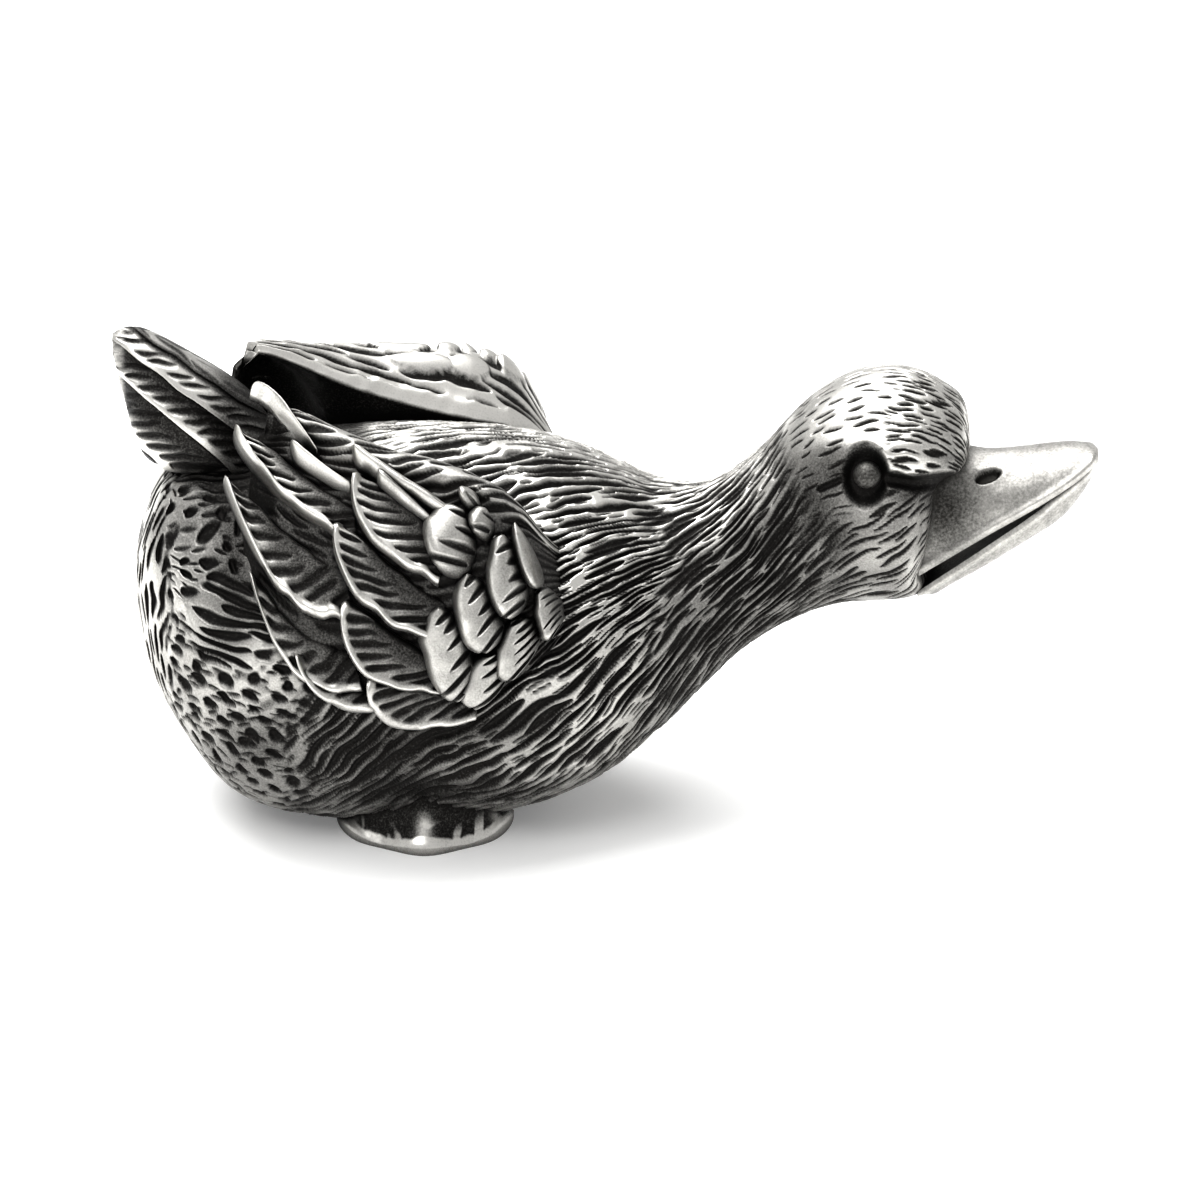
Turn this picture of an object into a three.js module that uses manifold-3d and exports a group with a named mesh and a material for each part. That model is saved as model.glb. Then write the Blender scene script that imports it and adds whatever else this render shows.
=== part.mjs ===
// A small sitting duck cast in pewter: body, head, two-part bill, eyes, folded wings, tail and webbed feet.
// Millimetres, +Z up, +X towards the bill, +Y towards the duck's left. The origin is on the table, under
// the middle of the figurine. Each casting is soldered to its neighbour, and the solder line is a gap here.
import * as THREE from 'three';
import { mergeVertices } from 'three/addons/utils/BufferGeometryUtils.js';
import Module from 'manifold-3d';

const wasm = await Module();
wasm.setup();

// The main sizes: tail tip to bill tip, the body's width, and the table to the tip of the tail.
const figurineLength = 60;
const bodyWidth = 23;
const figurineHeight = 31.2;

// The tables below hold the sculpted form. They were drawn at these main sizes, and stretch with them.
const drawnLength = 60;
const drawnBodyWidth = 23;
const drawnHeight = 31.2;
const along = figurineLength / drawnLength;
const across = bodyWidth / drawnBodyWidth;
const up = figurineHeight / drawnHeight;

const solderGap = 0.3;

// The spine from rump to forehead: place, half height, half width, lean in degrees towards the tail, and
// how square the underside is (2 is an ellipse).
const spine = [
  { x: -28.3, z: 18.2, high: 0, wide: 0, lean: -16, square: 2 },
  { x: -27.9, z: 18.2, high: 3.2, wide: 3.7, lean: -16, square: 2 },
  { x: -26.6, z: 16.1, high: 6.8, wide: 6.5, lean: -12, square: 2.1 },
  { x: -24.6, z: 14.0, high: 9.0, wide: 8.7, lean: -8, square: 2.2 },
  { x: -21.8, z: 12.4, high: 11.0, wide: 10.3, lean: -5, square: 2.3 },
  { x: -17.8, z: 11.8, high: 11.9, wide: 11.2, lean: -2, square: 2.3 },
  { x: -12.6, z: 11.8, high: 12.2, wide: 11.5, lean: 0, square: 2.3 },
  { x: -7.2, z: 12.0, high: 11.9, wide: 11.4, lean: 5, square: 2.3 },
  { x: -2.6, z: 12.9, high: 10.7, wide: 10.8, lean: 11, square: 2.3 },
  { x: 0.8, z: 14.0, high: 8.9, wide: 9.6, lean: 17, square: 2.2 },
  { x: 3.4, z: 14.8, high: 7.2, wide: 8.0, lean: 22, square: 2.1 },
  { x: 5.8, z: 15.4, high: 5.7, wide: 6.5, lean: 27, square: 2 },
  { x: 8.6, z: 16.3, high: 4.9, wide: 5.4, lean: 30, square: 2 },
  { x: 11.6, z: 18.0, high: 5.3, wide: 5.3, lean: 26, square: 2 },
  { x: 14.2, z: 19.8, high: 6.6, wide: 5.9, lean: 17, square: 2 },
  { x: 16.7, z: 20.8, high: 7.3, wide: 6.3, lean: 12, square: 2 },
  { x: 18.7, z: 21.2, high: 7.1, wide: 6.0, lean: 6, square: 2 },
  { x: 20.3, z: 21.3, high: 6.1, wide: 5.1, lean: -1, square: 2 },
  { x: 21.3, z: 21.0, high: 4.6, wide: 3.9, lean: -9, square: 2 },
  { x: 21.9, z: 20.8, high: 0, wide: 0, lean: -12, square: 2 },
];
const neckJointX = 10.2 * along;
const skinSegments = 36;

// The forehead juts out over the bill. Under it the face is set back, by a share of how far it lies past
// a start, and the share fades out towards the chin and towards the brow.
const faceStartX = 17.8 * along;
const faceSetBackShare = 0.45;
const faceChin = { clearZ: 14.6 * up, fullZ: 16.6 * up };
const faceBrow = { clearZ: 23.6 * up, fullZ: 21.8 * up };

// Swellings and hollows of the head: the brow, the cheek and the groove that runs from the eye to the bill.
const headForms = [
  { x: 17.6, z: 25.2, reachX: 2.1, reachZ: 1.4, rise: 0.55 },
  { x: 17.2, z: 19.6, reachX: 2.4, reachZ: 2.2, rise: 0.6 },
  { x: 18.5, z: 23.4, reachX: 2.4, reachZ: 0.8, rise: -0.8 },
];
// They lie on the sides of the head: nothing of them is left this near its middle plane.
const headFormsInnerY = 2.2 * across;

// The folded wing over the body's skin: at stations along the spine, the angle round the body from the
// top and the height off the skin of its inner edge, its ridge, its widest line and its lower edge.
const wing = [
  { x: -23.8, angles: [13, 15, 26, 44], rises: [5.6, 6.1, 3.6, 1.7], thick: 0.8 },
  { x: -21.6, angles: [13, 18, 34, 60], rises: [4.9, 5.7, 3.1, 1.4], thick: 1.2 },
  { x: -19.0, angles: [14, 22, 44, 78], rises: [3.8, 5.2, 2.5, 1.2], thick: 2.6 },
  { x: -16.0, angles: [16, 28, 54, 89], rises: [2.6, 5.0, 2.4, 1.2], thick: 6.5 },
  { x: -13.0, angles: [20, 32, 62, 92], rises: [1.7, 4.7, 2.4, 1.2], thick: 7.0 },
  { x: -10.0, angles: [23, 34, 66, 92], rises: [1.3, 4.8, 2.6, 1.2], thick: 7.0 },
  { x: -7.0, angles: [26, 37, 67, 90], rises: [1.2, 4.8, 2.7, 1.2], thick: 7.0 },
  { x: -4.4, angles: [31, 40, 67, 84], rises: [1.1, 4.4, 2.3, 1.0], thick: 7.0 },
  { x: -3.0, angles: [37, 43, 66, 80], rises: [0.7, 3.5, 2.0, 0.9], thick: 7.0 },
  { x: -1.9, angles: [43, 47, 65, 76], rises: [0.1, 1.5, 1.0, 0.4], thick: 7.0 },
  { x: -1.2, angles: [46, 49, 65, 73], rises: [-0.8, -0.3, -0.4, -0.7], thick: 7.0 },
];
// Where those four lines lie on a scale from the ridge, 0, to the lower edge, 1.
const wingLines = [-0.3, 0, 0.55, 1];
const wingSheetInset = 1.4;
const wingSheetDrop = 0.8;
const wingRimThickness = 0.7;
const wingRootDepth = 1.0;

// Feathers on the wing, back row first: the tip and the root as [along the spine, place on that scale]
// and the width. Each row lies over the one before.
const flightFeathers = [
  { tip: [-23.4, -0.08], root: [-15.5, 0.09], width: 1.9 },
  { tip: [-19.9, 0.2], root: [-14.5, 0.17], width: 2.0 },
  { tip: [-23.8, 0.3], root: [-14.5, 0.4], width: 4.4 },
  { tip: [-23.7, 0.68], root: [-14.5, 0.72], width: 5.0 },
  { tip: [-21.6, 0.96], root: [-14.0, 0.86], width: 4.0 },
  { tip: [-18.6, 1.0], root: [-12.5, 1.0], width: 2.8 },
];
const innerFeathers = [
  { tip: [-13.7, -0.12], root: [-8.0, -0.13], width: 1.9 },
  { tip: [-15.8, 0.02], root: [-6.9, 0.15], width: 2.4 },
  { tip: [-15.7, 0.18], root: [-10.0, 0.45], width: 3.8 },
  { tip: [-16.4, 0.41], root: [-10.0, 0.71], width: 4.2 },
  { tip: [-16.3, 0.7], root: [-9.4, 0.87], width: 4.0 },
  { tip: [-14.6, 0.92], root: [-7.0, 1.0], width: 2.8 },
];
const coverts = [
  { tip: [-11.4, 0.3], root: [-7.4, 0.28], width: 4.4 },
  { tip: [-9.5, -0.04], root: [-7.6, 0.04], width: 1.7 },
  { tip: [-8.4, 0.06], root: [-6.9, 0.14], width: 1.5 },
  { tip: [-7.6, -0.13], root: [-5.2, -0.1], width: 2.2 },
  { tip: [-6.3, 0.04], root: [-4.6, 0.12], width: 1.8 },
  { tip: [-9.7, 0.93], root: [-9.2, 0.43], width: 3.6 },
  { tip: [-7.0, 0.7], root: [-7.6, 0.28], width: 3.3 },
  { tip: [-7.8, 1.0], root: [-6.6, 0.64], width: 3.4 },
  { tip: [-5.4, 0.57], root: [-5.2, 0.14], width: 2.8 },
  { tip: [-5.3, 0.98], root: [-4.9, 0.48], width: 3.1 },
  { tip: [-3.6, 0.42], root: [-4.2, 0.08], width: 1.5 },
  { tip: [-3.2, 0.92], root: [-3.4, 0.38], width: 1.9 },
];
const flightFeatherLift = 0.0;
const innerFeatherLift = 0.35;
const covertLift = 0.6;
const featherRootLift = -0.6;
const featherCamber = 0.35;
const featherDepth = 1.1;

// The tail is an upright wedge. Its sections give the top ridge, the lower edge and the half width.
const tail = [
  { x: -21.4, top: 26.6, bottom: 20.6, wide: 2.4 },
  { x: -23.0, top: 27.9, bottom: 21.2, wide: 3.3 },
  { x: -25.0, top: 29.2, bottom: 21.6, wide: 3.7 },
  { x: -27.0, top: 30.5, bottom: 22.0, wide: 3.3 },
  { x: -28.4, top: 31.2, bottom: 23.2, wide: 2.5 },
  { x: -29.4, top: 31.2, bottom: 26.8, wide: 1.4 },
  { x: -30.0, top: 30.8, bottom: 29.6, wide: 0.5 },
];
const tailFeathersPerSide = 4;
const tailFeatherStep = 0.45;

// The bill in two halves that meet at the gape: sections give the outer edge line and the half width.
const upperBill = [
  { x: 19.0, outer: 23.9, rim: 16.2, wide: 3.5 },
  { x: 21.0, outer: 23.5, rim: 17.4, wide: 3.3 },
  { x: 23.3, outer: 22.95, rim: 18.8, wide: 3.1 },
  { x: 26.1, outer: 23.1, rim: 20.45, wide: 2.9 },
  { x: 28.3, outer: 23.3, rim: 21.75, wide: 2.4 },
  { x: 29.5, outer: 23.25, rim: 22.4, wide: 1.5 },
  { x: 30.0, outer: 22.9, rim: 22.55, wide: 0.6 },
];
const lowerBill = [
  { x: 19.0, outer: 13.6, rim: 15.4, wide: 3.1 },
  { x: 21.0, outer: 14.7, rim: 16.75, wide: 3.0 },
  { x: 23.3, outer: 15.8, rim: 18.25, wide: 2.85 },
  { x: 26.1, outer: 17.6, rim: 20.0, wide: 2.6 },
  { x: 28.3, outer: 19.3, rim: 21.4, wide: 2.1 },
  { x: 29.4, outer: 20.9, rim: 22.0, wide: 1.2 },
];

// The eye is a bead in a round socket. Its place is along the spine and round the head.
const eyeX = 16.5 * along;
const eyeAngle = 63;
const eyeRadius = 0.85;
const eyeDepth = 0.35;
const socketRadius = 1.7;
const socketDepth = 0.75;

// The webbed foot spreads from under the belly: its outline on the table is an arc round the ankle.
const footX = -11.1 * along;
const footLength = 10.9;
const footReach = 9.6;
const footInnerY = 3.4 * across;
const footRim = 0.45;
// How full the outline's arc is, and how square its two ends are where the foot is grown.
const footFullness = 0.8;
const footEndPower = 8;
const footLevels = [
  { share: 0.93, height: 1.2 },
  { share: 0.86, height: 2.2 },
  { share: 0.75, height: 3.4 },
  { share: 0.5, height: 4.0 },
];
const toeCount = 3;
const toeRidge = 0.35;
const toeScallop = 0.5;

const degrees = Math.PI / 180;

// Catmull-Rom through rows of equal-length number lists, at a place counted in rows.
function alongRows(rows, place, before, after) {
  const index = Math.max(0, Math.min(Math.floor(place), rows.length - 2));
  const f = place - index;
  const a = index > 0 ? rows[index - 1] : before;
  const b = rows[index];
  const c = rows[index + 1];
  const d = index < rows.length - 2 ? rows[index + 2] : after;
  return b.map((start, k) => {
    const slope = c[k] - a[k];
    const bend = 2 * a[k] - 5 * start + 4 * c[k] - d[k];
    const twist = 3 * start - 3 * c[k] + d[k] - a[k];
    return 0.5 * (2 * start + slope * f + bend * f * f + twist * f * f * f);
  });
}

function straightOn(from, past) {
  return from.map((value, k) => 2 * value - past[k]);
}

// The same through open rows, whose ends run straight on.
function throughRows(rows, place) {
  const before = straightOn(rows[0], rows[1]);
  const after = straightOn(rows.at(-1), rows.at(-2));
  return alongRows(rows, place, before, after);
}

const spineRows = spine.map((s) => {
  return [s.x * along, s.z * up, s.high * up, s.wide * across, s.lean, s.square];
});
const spineEnd = spineRows.length - 1;

function roundedOff(row) {
  const [x, z, high, wide, lean, square] = row;
  return [x, z, -high, -wide, lean, square];
}

function spineAt(place) {
  return alongRows(spineRows, place, roundedOff(spineRows[1]), roundedOff(spineRows.at(-2)));
}

// The place in rows where the spine passes a given x, by halving.
function placeOnSpine(x) {
  let low = 0;
  let high = spineEnd;
  for (let step = 0; step < 40; step += 1) {
    const middle = (low + high) / 2;
    if (spineAt(middle)[0] < x) low = middle;
    else high = middle;
  }
  return (low + high) / 2;
}

// 0 at the start, 1 at the end, and an S-shaped curve between them.
function eased(start, end, value) {
  const t = Math.min(1, Math.max(0, (value - start) / (end - start)));
  return t * t * (3 - 2 * t);
}

// How far a point of the plain ovals moves back under the forehead.
function faceSetBack(x, z) {
  const share = faceSetBackShare * eased(faceChin.clearZ, faceChin.fullZ, z)
    * eased(faceBrow.clearZ, faceBrow.fullZ, z);
  return share * Math.max(0, x - faceStartX);
}

// A point a given rise off the skin. The angle runs from the back, over the side of the given sign.
function skinPoint(place, angle, side, rise = 0) {
  const [x, z, high, wide, lean, square] = spineAt(place);
  const cos = Math.cos(angle);
  const sin = Math.sin(angle);
  const power = cos < 0 ? 2 / square : 1;
  const rising = high * Math.sign(cos) * Math.abs(cos) ** power + rise * cos;
  const out = wide * Math.sign(sin) * Math.abs(sin) ** power + rise * sin;
  const tilt = lean * degrees;
  const point = new THREE.Vector3(x - Math.sin(tilt) * rising, side * out, z + Math.cos(tilt) * rising);
  point.x -= faceSetBack(point.x, point.z);
  return point;
}

function geometryOf(points, triangles) {
  const geometry = new THREE.BufferGeometry();
  const coordinates = points.flatMap((p) => p.toArray());
  geometry.setAttribute('position', new THREE.Float32BufferAttribute(coordinates, 3));
  geometry.setIndex(triangles);
  return geometry;
}

function signedVolume(points, triangles) {
  let volume = 0;
  for (let k = 0; k < triangles.length; k += 3) {
    const [a, b, c] = [points[triangles[k]], points[triangles[k + 1]], points[triangles[k + 2]]];
    volume += a.dot(new THREE.Vector3().crossVectors(b, c)) / 6;
  }
  return volume;
}

// A flat end over one ring, as triangles of the ring's own points.
function endTriangles(ring, flatten) {
  const contour = ring.map(flatten);
  return THREE.ShapeUtils.triangulateShape(contour, []);
}

// A closed solid through rings of points. Each ring has the same number of points.
function loft(rings, flatten = (p) => new THREE.Vector2(p.y, p.z)) {
  const size = rings[0].length;
  const points = rings.flat();
  const triangles = [];
  for (let r = 0; r < rings.length - 1; r += 1) {
    for (let k = 0; k < size; k += 1) {
      const a = r * size + k;
      const b = r * size + ((k + 1) % size);
      triangles.push(a, b, b + size, a, b + size, a + size);
    }
  }
  const last = (rings.length - 1) * size;
  for (const [a, b, c] of endTriangles(rings[0], flatten)) triangles.push(a, c, b);
  for (const [a, b, c] of endTriangles(rings.at(-1), flatten)) triangles.push(last + a, last + b, last + c);
  orientEnds(triangles, rings, size);
  if (signedVolume(points, triangles) < 0) triangles.reverse();
  return geometryOf(points, triangles);
}

// Turns the two ends to run with the walls, whichever way their rings go round. Each four-sided face of the
// walls is two triangles, so six indices.
function orientEnds(triangles, rings, size) {
  const wallCount = (rings.length - 1) * size * 6;
  const wallEdges = new Set();
  for (let k = 0; k < wallCount; k += 3) {
    for (let e = 0; e < 3; e += 1) wallEdges.add(`${triangles[k + e]}-${triangles[k + ((e + 1) % 3)]}`);
  }
  const perEnd = (size - 2) * 3;
  for (let start = wallCount; start < triangles.length; start += perEnd) {
    const end = Math.min(start + perEnd, triangles.length);
    let alike = false;
    for (let k = start; k < end; k += 3) {
      for (let e = 0; e < 3; e += 1) {
        alike ||= wallEdges.has(`${triangles[k + e]}-${triangles[k + ((e + 1) % 3)]}`);
      }
    }
    if (!alike) continue;
    for (let k = start; k < end; k += 3) {
      [triangles[k], triangles[k + 1]] = [triangles[k + 1], triangles[k]];
    }
  }
}

function solidOf(geometry) {
  const bare = geometry.clone();
  bare.deleteAttribute('normal');
  bare.deleteAttribute('uv');
  const merged = mergeVertices(bare, 1e-4);
  return new wasm.Manifold(new wasm.Mesh({
    numProp: 3,
    vertProperties: new Float32Array(merged.attributes.position.array),
    triVerts: new Uint32Array(merged.index.array),
  }));
}

// A cut can leave crumbs beside the piece: the piece is the largest.
function largest(solid) {
  return solid.decompose().sort((a, b) => b.volume() - a.volume())[0];
}

function meshOf(name, solid, material) {
  const { vertProperties, triVerts } = largest(solid).getMesh();
  const geometry = new THREE.BufferGeometry();
  geometry.setAttribute('position', new THREE.BufferAttribute(new Float32Array(vertProperties), 3));
  geometry.setIndex(new THREE.BufferAttribute(new Uint32Array(triVerts), 1));
  geometry.computeVertexNormals();
  const mesh = new THREE.Mesh(geometry, material);
  mesh.name = name;
  return mesh;
}

function pewter(color, roughness) {
  return new THREE.MeshStandardMaterial({ color, roughness, metalness: 1 });
}

// Rings of the skin between two places on the spine. The rise at a point of the plain skin is a function of
// that point. A small ring stands for each tip.
function skinRings(from, to, ringCount, riseAt) {
  const tipInset = 0.02;
  return Array.from({ length: ringCount + 1 }, (_, r) => {
    const place = from + (to - from) * (r / ringCount);
    const inside = Math.max(tipInset, Math.min(place, spineEnd - tipInset));
    return Array.from({ length: skinSegments }, (_, k) => {
      const angle = (k / skinSegments) * 2 * Math.PI;
      return skinPoint(inside, angle, 1, riseAt(skinPoint(inside, angle, 1)));
    });
  });
}

// How far the head's swellings and hollows lift a point of the plain skin: a bell for each of them.
function headRise({ x, y, z }) {
  const onSide = eased(headFormsInnerY, 2 * headFormsInnerY, Math.abs(y));
  const bells = headForms.map((form) => {
    const shareX = (x - form.x * along) / form.reachX;
    const shareZ = (z - form.z * up) / form.reachZ;
    return form.rise * Math.exp(-(shareX ** 2) - shareZ ** 2);
  });
  return onSide * bells.reduce((sum, bell) => sum + bell, 0);
}

const neckTilt = spineAt(placeOnSpine(neckJointX))[4] * degrees;
const neckHalfGap = solderGap / 2 / Math.cos(neckTilt);

function bodyCasting() {
  const ringCount = 32;
  const rings = skinRings(0, placeOnSpine(neckJointX - neckHalfGap), ringCount, () => 0);
  for (const point of rings.flat()) point.z = Math.max(point.z, 0);
  const block = solidOf(loft(rings));
  return block.subtract(footSolid(1, solderGap)).subtract(footSolid(-1, solderGap));
}

// The body and head together, one solder gap larger: what the tail and the wings are fitted against.
function seatCutter() {
  const ringCount = 48;
  return solidOf(loft(skinRings(0, spineEnd, ringCount, () => solderGap)));
}

// The head, from the neck joint to the forehead, with its skin lifted by a rise.
function headBlock(riseAt) {
  const ringCount = 22;
  return solidOf(loft(skinRings(placeOnSpine(neckJointX + neckHalfGap), spineEnd, ringCount, riseAt)));
}

function eyeCentre(side) {
  return skinPoint(placeOnSpine(eyeX), eyeAngle * degrees, side, -eyeDepth);
}

function ball(radius, centre, around = 14, down = 8) {
  const geometry = new THREE.SphereGeometry(radius, around, down);
  geometry.translate(centre.x, centre.y, centre.z);
  return solidOf(geometry);
}

// A shallow bowl round the eye, cut by a ball whose centre stands off the cheek.
function eyeSocket(side) {
  const ballRadius = (socketRadius ** 2 + socketDepth ** 2) / (2 * socketDepth);
  const centre = skinPoint(placeOnSpine(eyeX), eyeAngle * degrees, side, ballRadius - socketDepth);
  return ball(ballRadius, centre, 20, 12);
}

function headCasting() {
  let head = headBlock(headRise);
  for (const side of [-1, 1]) {
    head = head.subtract(eyeSocket(side));
    head = head.subtract(ball(eyeRadius + solderGap, eyeCentre(side)));
  }
  return head;
}

function eyeBead(side) {
  return ball(eyeRadius, eyeCentre(side));
}

// The space that the head takes from the bill, one solder gap larger to the sides and to the front.
function faceCutter() {
  const grown = headBlock((point) => solderGap + Math.max(0, headRise(point)));
  return grown.add(grown.translate([solderGap, 0, 0]));
}

// One half of the bill: a dome on a flat gape side. The outer line may be above the rim or below it.
function billHalf(sections, ringCount) {
  const rows = sections.map((s) => [s.x * along, s.outer * up, s.rim * up, s.wide * across]);
  const domePoints = 10;
  const domeFullness = 0.8;
  const rings = Array.from({ length: ringCount + 1 }, (_, r) => {
    const [x, outer, rim, wide] = throughRows(rows, (r / ringCount) * (rows.length - 1));
    return Array.from({ length: domePoints + 1 }, (_, k) => {
      const angle = Math.PI * (k / domePoints);
      const swell = Math.sin(angle) ** domeFullness;
      return new THREE.Vector3(x, wide * Math.cos(angle), rim + (outer - rim) * swell);
    });
  });
  return solidOf(loft(rings)).subtract(faceCutter());
}

// The tail wedge. Each side is stepped into feathers that lap from the top ridge down.
function tailCasting() {
  const rows = tail.map((s) => [s.x * along, s.top * up, s.bottom * up, s.wide * across]);
  const ringCount = 14;
  const ridgeSharpness = 1.1;
  const pointsPerSide = tailFeathersPerSide * 4;
  const rings = Array.from({ length: ringCount + 1 }, (_, r) => {
    const [x, top, bottom, wide] = throughRows(rows, (r / ringCount) * (rows.length - 1));
    const middle = (top + bottom) / 2;
    return Array.from({ length: 2 * pointsPerSide }, (_, k) => {
      const turn = k / pointsPerSide;
      const fromTop = turn <= 1 ? turn : 2 - turn;
      const lap = (fromTop * tailFeathersPerSide) % 1;
      const shrink = 1 - tailFeatherStep * (1 - lap) * Math.sin(Math.PI * fromTop) / Math.max(wide, 1);
      const angle = turn * Math.PI;
      const sin = Math.sin(angle);
      const out = wide * Math.sign(sin) * Math.abs(sin) ** ridgeSharpness * shrink;
      return new THREE.Vector3(x, out, middle + ((top - bottom) / 2) * Math.cos(angle));
    });
  });
  return solidOf(loft(rings)).subtract(seatCutter());
}

const wingRows = wing.map((s) => [s.x * along, ...s.angles, ...s.rises, s.thick]);

function wingRowAt(x) {
  let row = 0;
  while (row < wingRows.length - 2 && wingRows[row + 1][0] < x) row += 1;
  const [startX, endX] = [wingRows[row][0], wingRows[row + 1][0]];
  return throughRows(wingRows, row + (x - startX) / (endX - startX));
}

// Angle round the body, rise off the skin and thickness of the wing, at x along the spine and at a place
// on the scale from ridge to lower edge.
function wingProfile(x, line) {
  const [, ...values] = wingRowAt(x);
  const corners = [0, 1, 2, 3].map((k) => [values[k], values[4 + k]]);
  let k = 0;
  while (k < 2 && wingLines[k + 1] < line) k += 1;
  const place = k + (line - wingLines[k]) / (wingLines[k + 1] - wingLines[k]);
  const [angle, rise] = throughRows(corners, place);
  const fromInnerEdge = Math.min(1, Math.max(0, (line - wingLines[0]) / -wingLines[0]));
  const thick = wingRimThickness + (values[8] - wingRimThickness) * fromInnerEdge;
  return { angle: angle * degrees, rise, thick };
}

function wingPoint(side, x, line, lift) {
  const { angle, rise } = wingProfile(x, line);
  return skinPoint(placeOnSpine(x), angle, side, rise + lift);
}

// The sheet that carries the feathers, a little below them except at its inner edge: thin there and at
// its tips, and filled down to the body in between.
function wingSheet(side) {
  const ringCount = 15;
  const outerCount = 14;
  const innerCount = 5;
  const startX = wingRows[0][0] + wingSheetInset;
  const endX = wingRows.at(-1)[0];
  const [firstLine, lastLine] = [wingLines[0], wingLines.at(-1)];
  const rings = Array.from({ length: ringCount + 1 }, (_, r) => {
    const x = startX + (endX - startX) * (r / ringCount);
    const outer = Array.from({ length: outerCount }, (_, k) => {
      const line = firstLine + (lastLine - firstLine) * (k / (outerCount - 1));
      return wingPoint(side, x, line, line < 0 ? 0 : -wingSheetDrop);
    });
    const inner = Array.from({ length: innerCount }, (_, k) => {
      const line = lastLine + (firstLine - lastLine) * (k / (innerCount - 1));
      const { angle, rise, thick } = wingProfile(x, line);
      const floor = Math.min(-wingRootDepth, rise - wingSheetDrop - wingRimThickness);
      return skinPoint(placeOnSpine(x), angle, side, Math.max(rise - thick, floor));
    });
    return [...outer, ...inner];
  });
  return solidOf(loft(rings));
}

// The wing's scale from ridge to lower edge, in millimetres, for turning widths into places on it.
const wingLineLength = 15;

// One feather: a curved blade with a round tip, highest at the tip and sunk into the sheet at its root.
function feather(side, { tip, root, width }, tipLift) {
  const alongCount = 6;
  const acrossCount = 4;
  const roundShare = 0.4;
  const rootShare = 0.7;
  const tipX = tip[0] * along;
  const dx = root[0] * along - tipX;
  const dl = (root[1] - tip[1]) * wingLineLength;
  const length = Math.hypot(dx, dl);
  const sideStep = [-dl / length, dx / length];
  const rings = Array.from({ length: alongCount + 1 }, (_, r) => {
    const u = Math.max(0.02, r / alongCount);
    const fromRound = Math.min(u / roundShare, 1);
    const taper = 1 - (1 - rootShare) * u;
    const half = (width / 2) * taper * Math.sqrt(1 - (1 - fromRound) ** 2);
    const lift = featherRootLift + (tipLift - featherRootLift) * (1 - u);
    const pointAt = (v, height) => {
      const x = tipX + dx * u + sideStep[0] * half * v;
      const line = tip[1] + (dl * u + sideStep[1] * half * v) / wingLineLength;
      return wingPoint(side, x, line, height);
    };
    const spread = Array.from({ length: acrossCount + 1 }, (_, k) => (2 * k) / acrossCount - 1);
    const top = spread.map((v) => pointAt(v, lift + featherCamber * (1 - v * v)));
    const under = spread.toReversed().map((v) => pointAt(v, lift - featherDepth));
    return [...top, ...under];
  });
  const middle = rings[0][0];
  const outward = new THREE.Vector3(0, middle.y, middle.z - spineAt(placeOnSpine(tipX))[1]).normalize();
  const quill = rings.at(-1)[0].clone().sub(middle).normalize();
  const sideways = new THREE.Vector3().crossVectors(outward, quill).normalize();
  return solidOf(loft(rings, (p) => new THREE.Vector2(p.dot(sideways), p.dot(outward))));
}

function wingCasting(side) {
  let solid = wingSheet(side);
  const rows = [
    [flightFeathers, flightFeatherLift],
    [innerFeathers, innerFeatherLift],
    [coverts, covertLift],
  ];
  for (const [row, lift] of rows) {
    for (const shape of row) solid = solid.add(feather(side, shape, lift));
  }
  return solid.subtract(seatCutter());
}

// The foot: a web that rises from its thin rim to the belly, with toes as ridges that run to its points.
// Grown, it is the pocket that it is soldered into.
function footSolid(side, grow) {
  const arcCount = 24;
  const levels = [{ share: 1, height: 0 }, { share: 1, height: footRim }, ...footLevels];
  const rings = levels.map(({ share, height }) => Array.from({ length: arcCount + 1 }, (_, k) => {
    const angle = Math.PI * (k / arcCount);
    const toe = Math.sin(angle * toeCount) ** 2;
    const ridge = height > 0 ? toeRidge * toe : 0;
    const scallop = toeScallop * (1 - toe) * Math.sin(angle);
    const length = (footLength / 2) * share + grow;
    const reach = (footReach - footInnerY - scallop) * share + grow;
    const x = footX - length * Math.cos(angle);
    const atEnd = Math.cos(angle) ** footEndPower;
    const out = footInnerY + reach * Math.sin(angle) ** footFullness - grow * atEnd;
    return new THREE.Vector3(x, side * out, height > 0 ? height + ridge + grow : -grow);
  }));
  return solidOf(loft(rings, (p) => new THREE.Vector2(p.x, p.y)));
}

const figurine = new THREE.Group();
figurine.name = 'pewter_duck';

const antique = pewter(0x7d7b77, 0.5);
const worn = pewter(0x9a9894, 0.4);
const dark = pewter(0x3a3937, 0.4);
figurine.add(meshOf('body', bodyCasting(), antique));
figurine.add(meshOf('head', headCasting(), antique));
figurine.add(meshOf('upper_bill', billHalf(upperBill, 12), worn));
figurine.add(meshOf('lower_bill', billHalf(lowerBill, 10), worn));
figurine.add(meshOf('tail', tailCasting(), antique));
for (const [sideName, side] of [['right', -1], ['left', 1]]) {
  figurine.add(meshOf(`${sideName}_eye`, eyeBead(side), dark));
  figurine.add(meshOf(`${sideName}_wing`, wingCasting(side), worn));
  figurine.add(meshOf(`${sideName}_foot`, footSolid(side, 0), antique));
}

export default figurine;
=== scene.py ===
# %% [markdown]
# A small sitting duck in antiqued pewter, as long as a thumb. The frame holds its construction, eleven
# castings soldered together. This lesson dresses each of them: the plumage is cut into the surface as
# real relief, and one metal finish blackens the cuts and brightens what a polishing cloth reaches.

# %% Load the frame
import math

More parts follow.
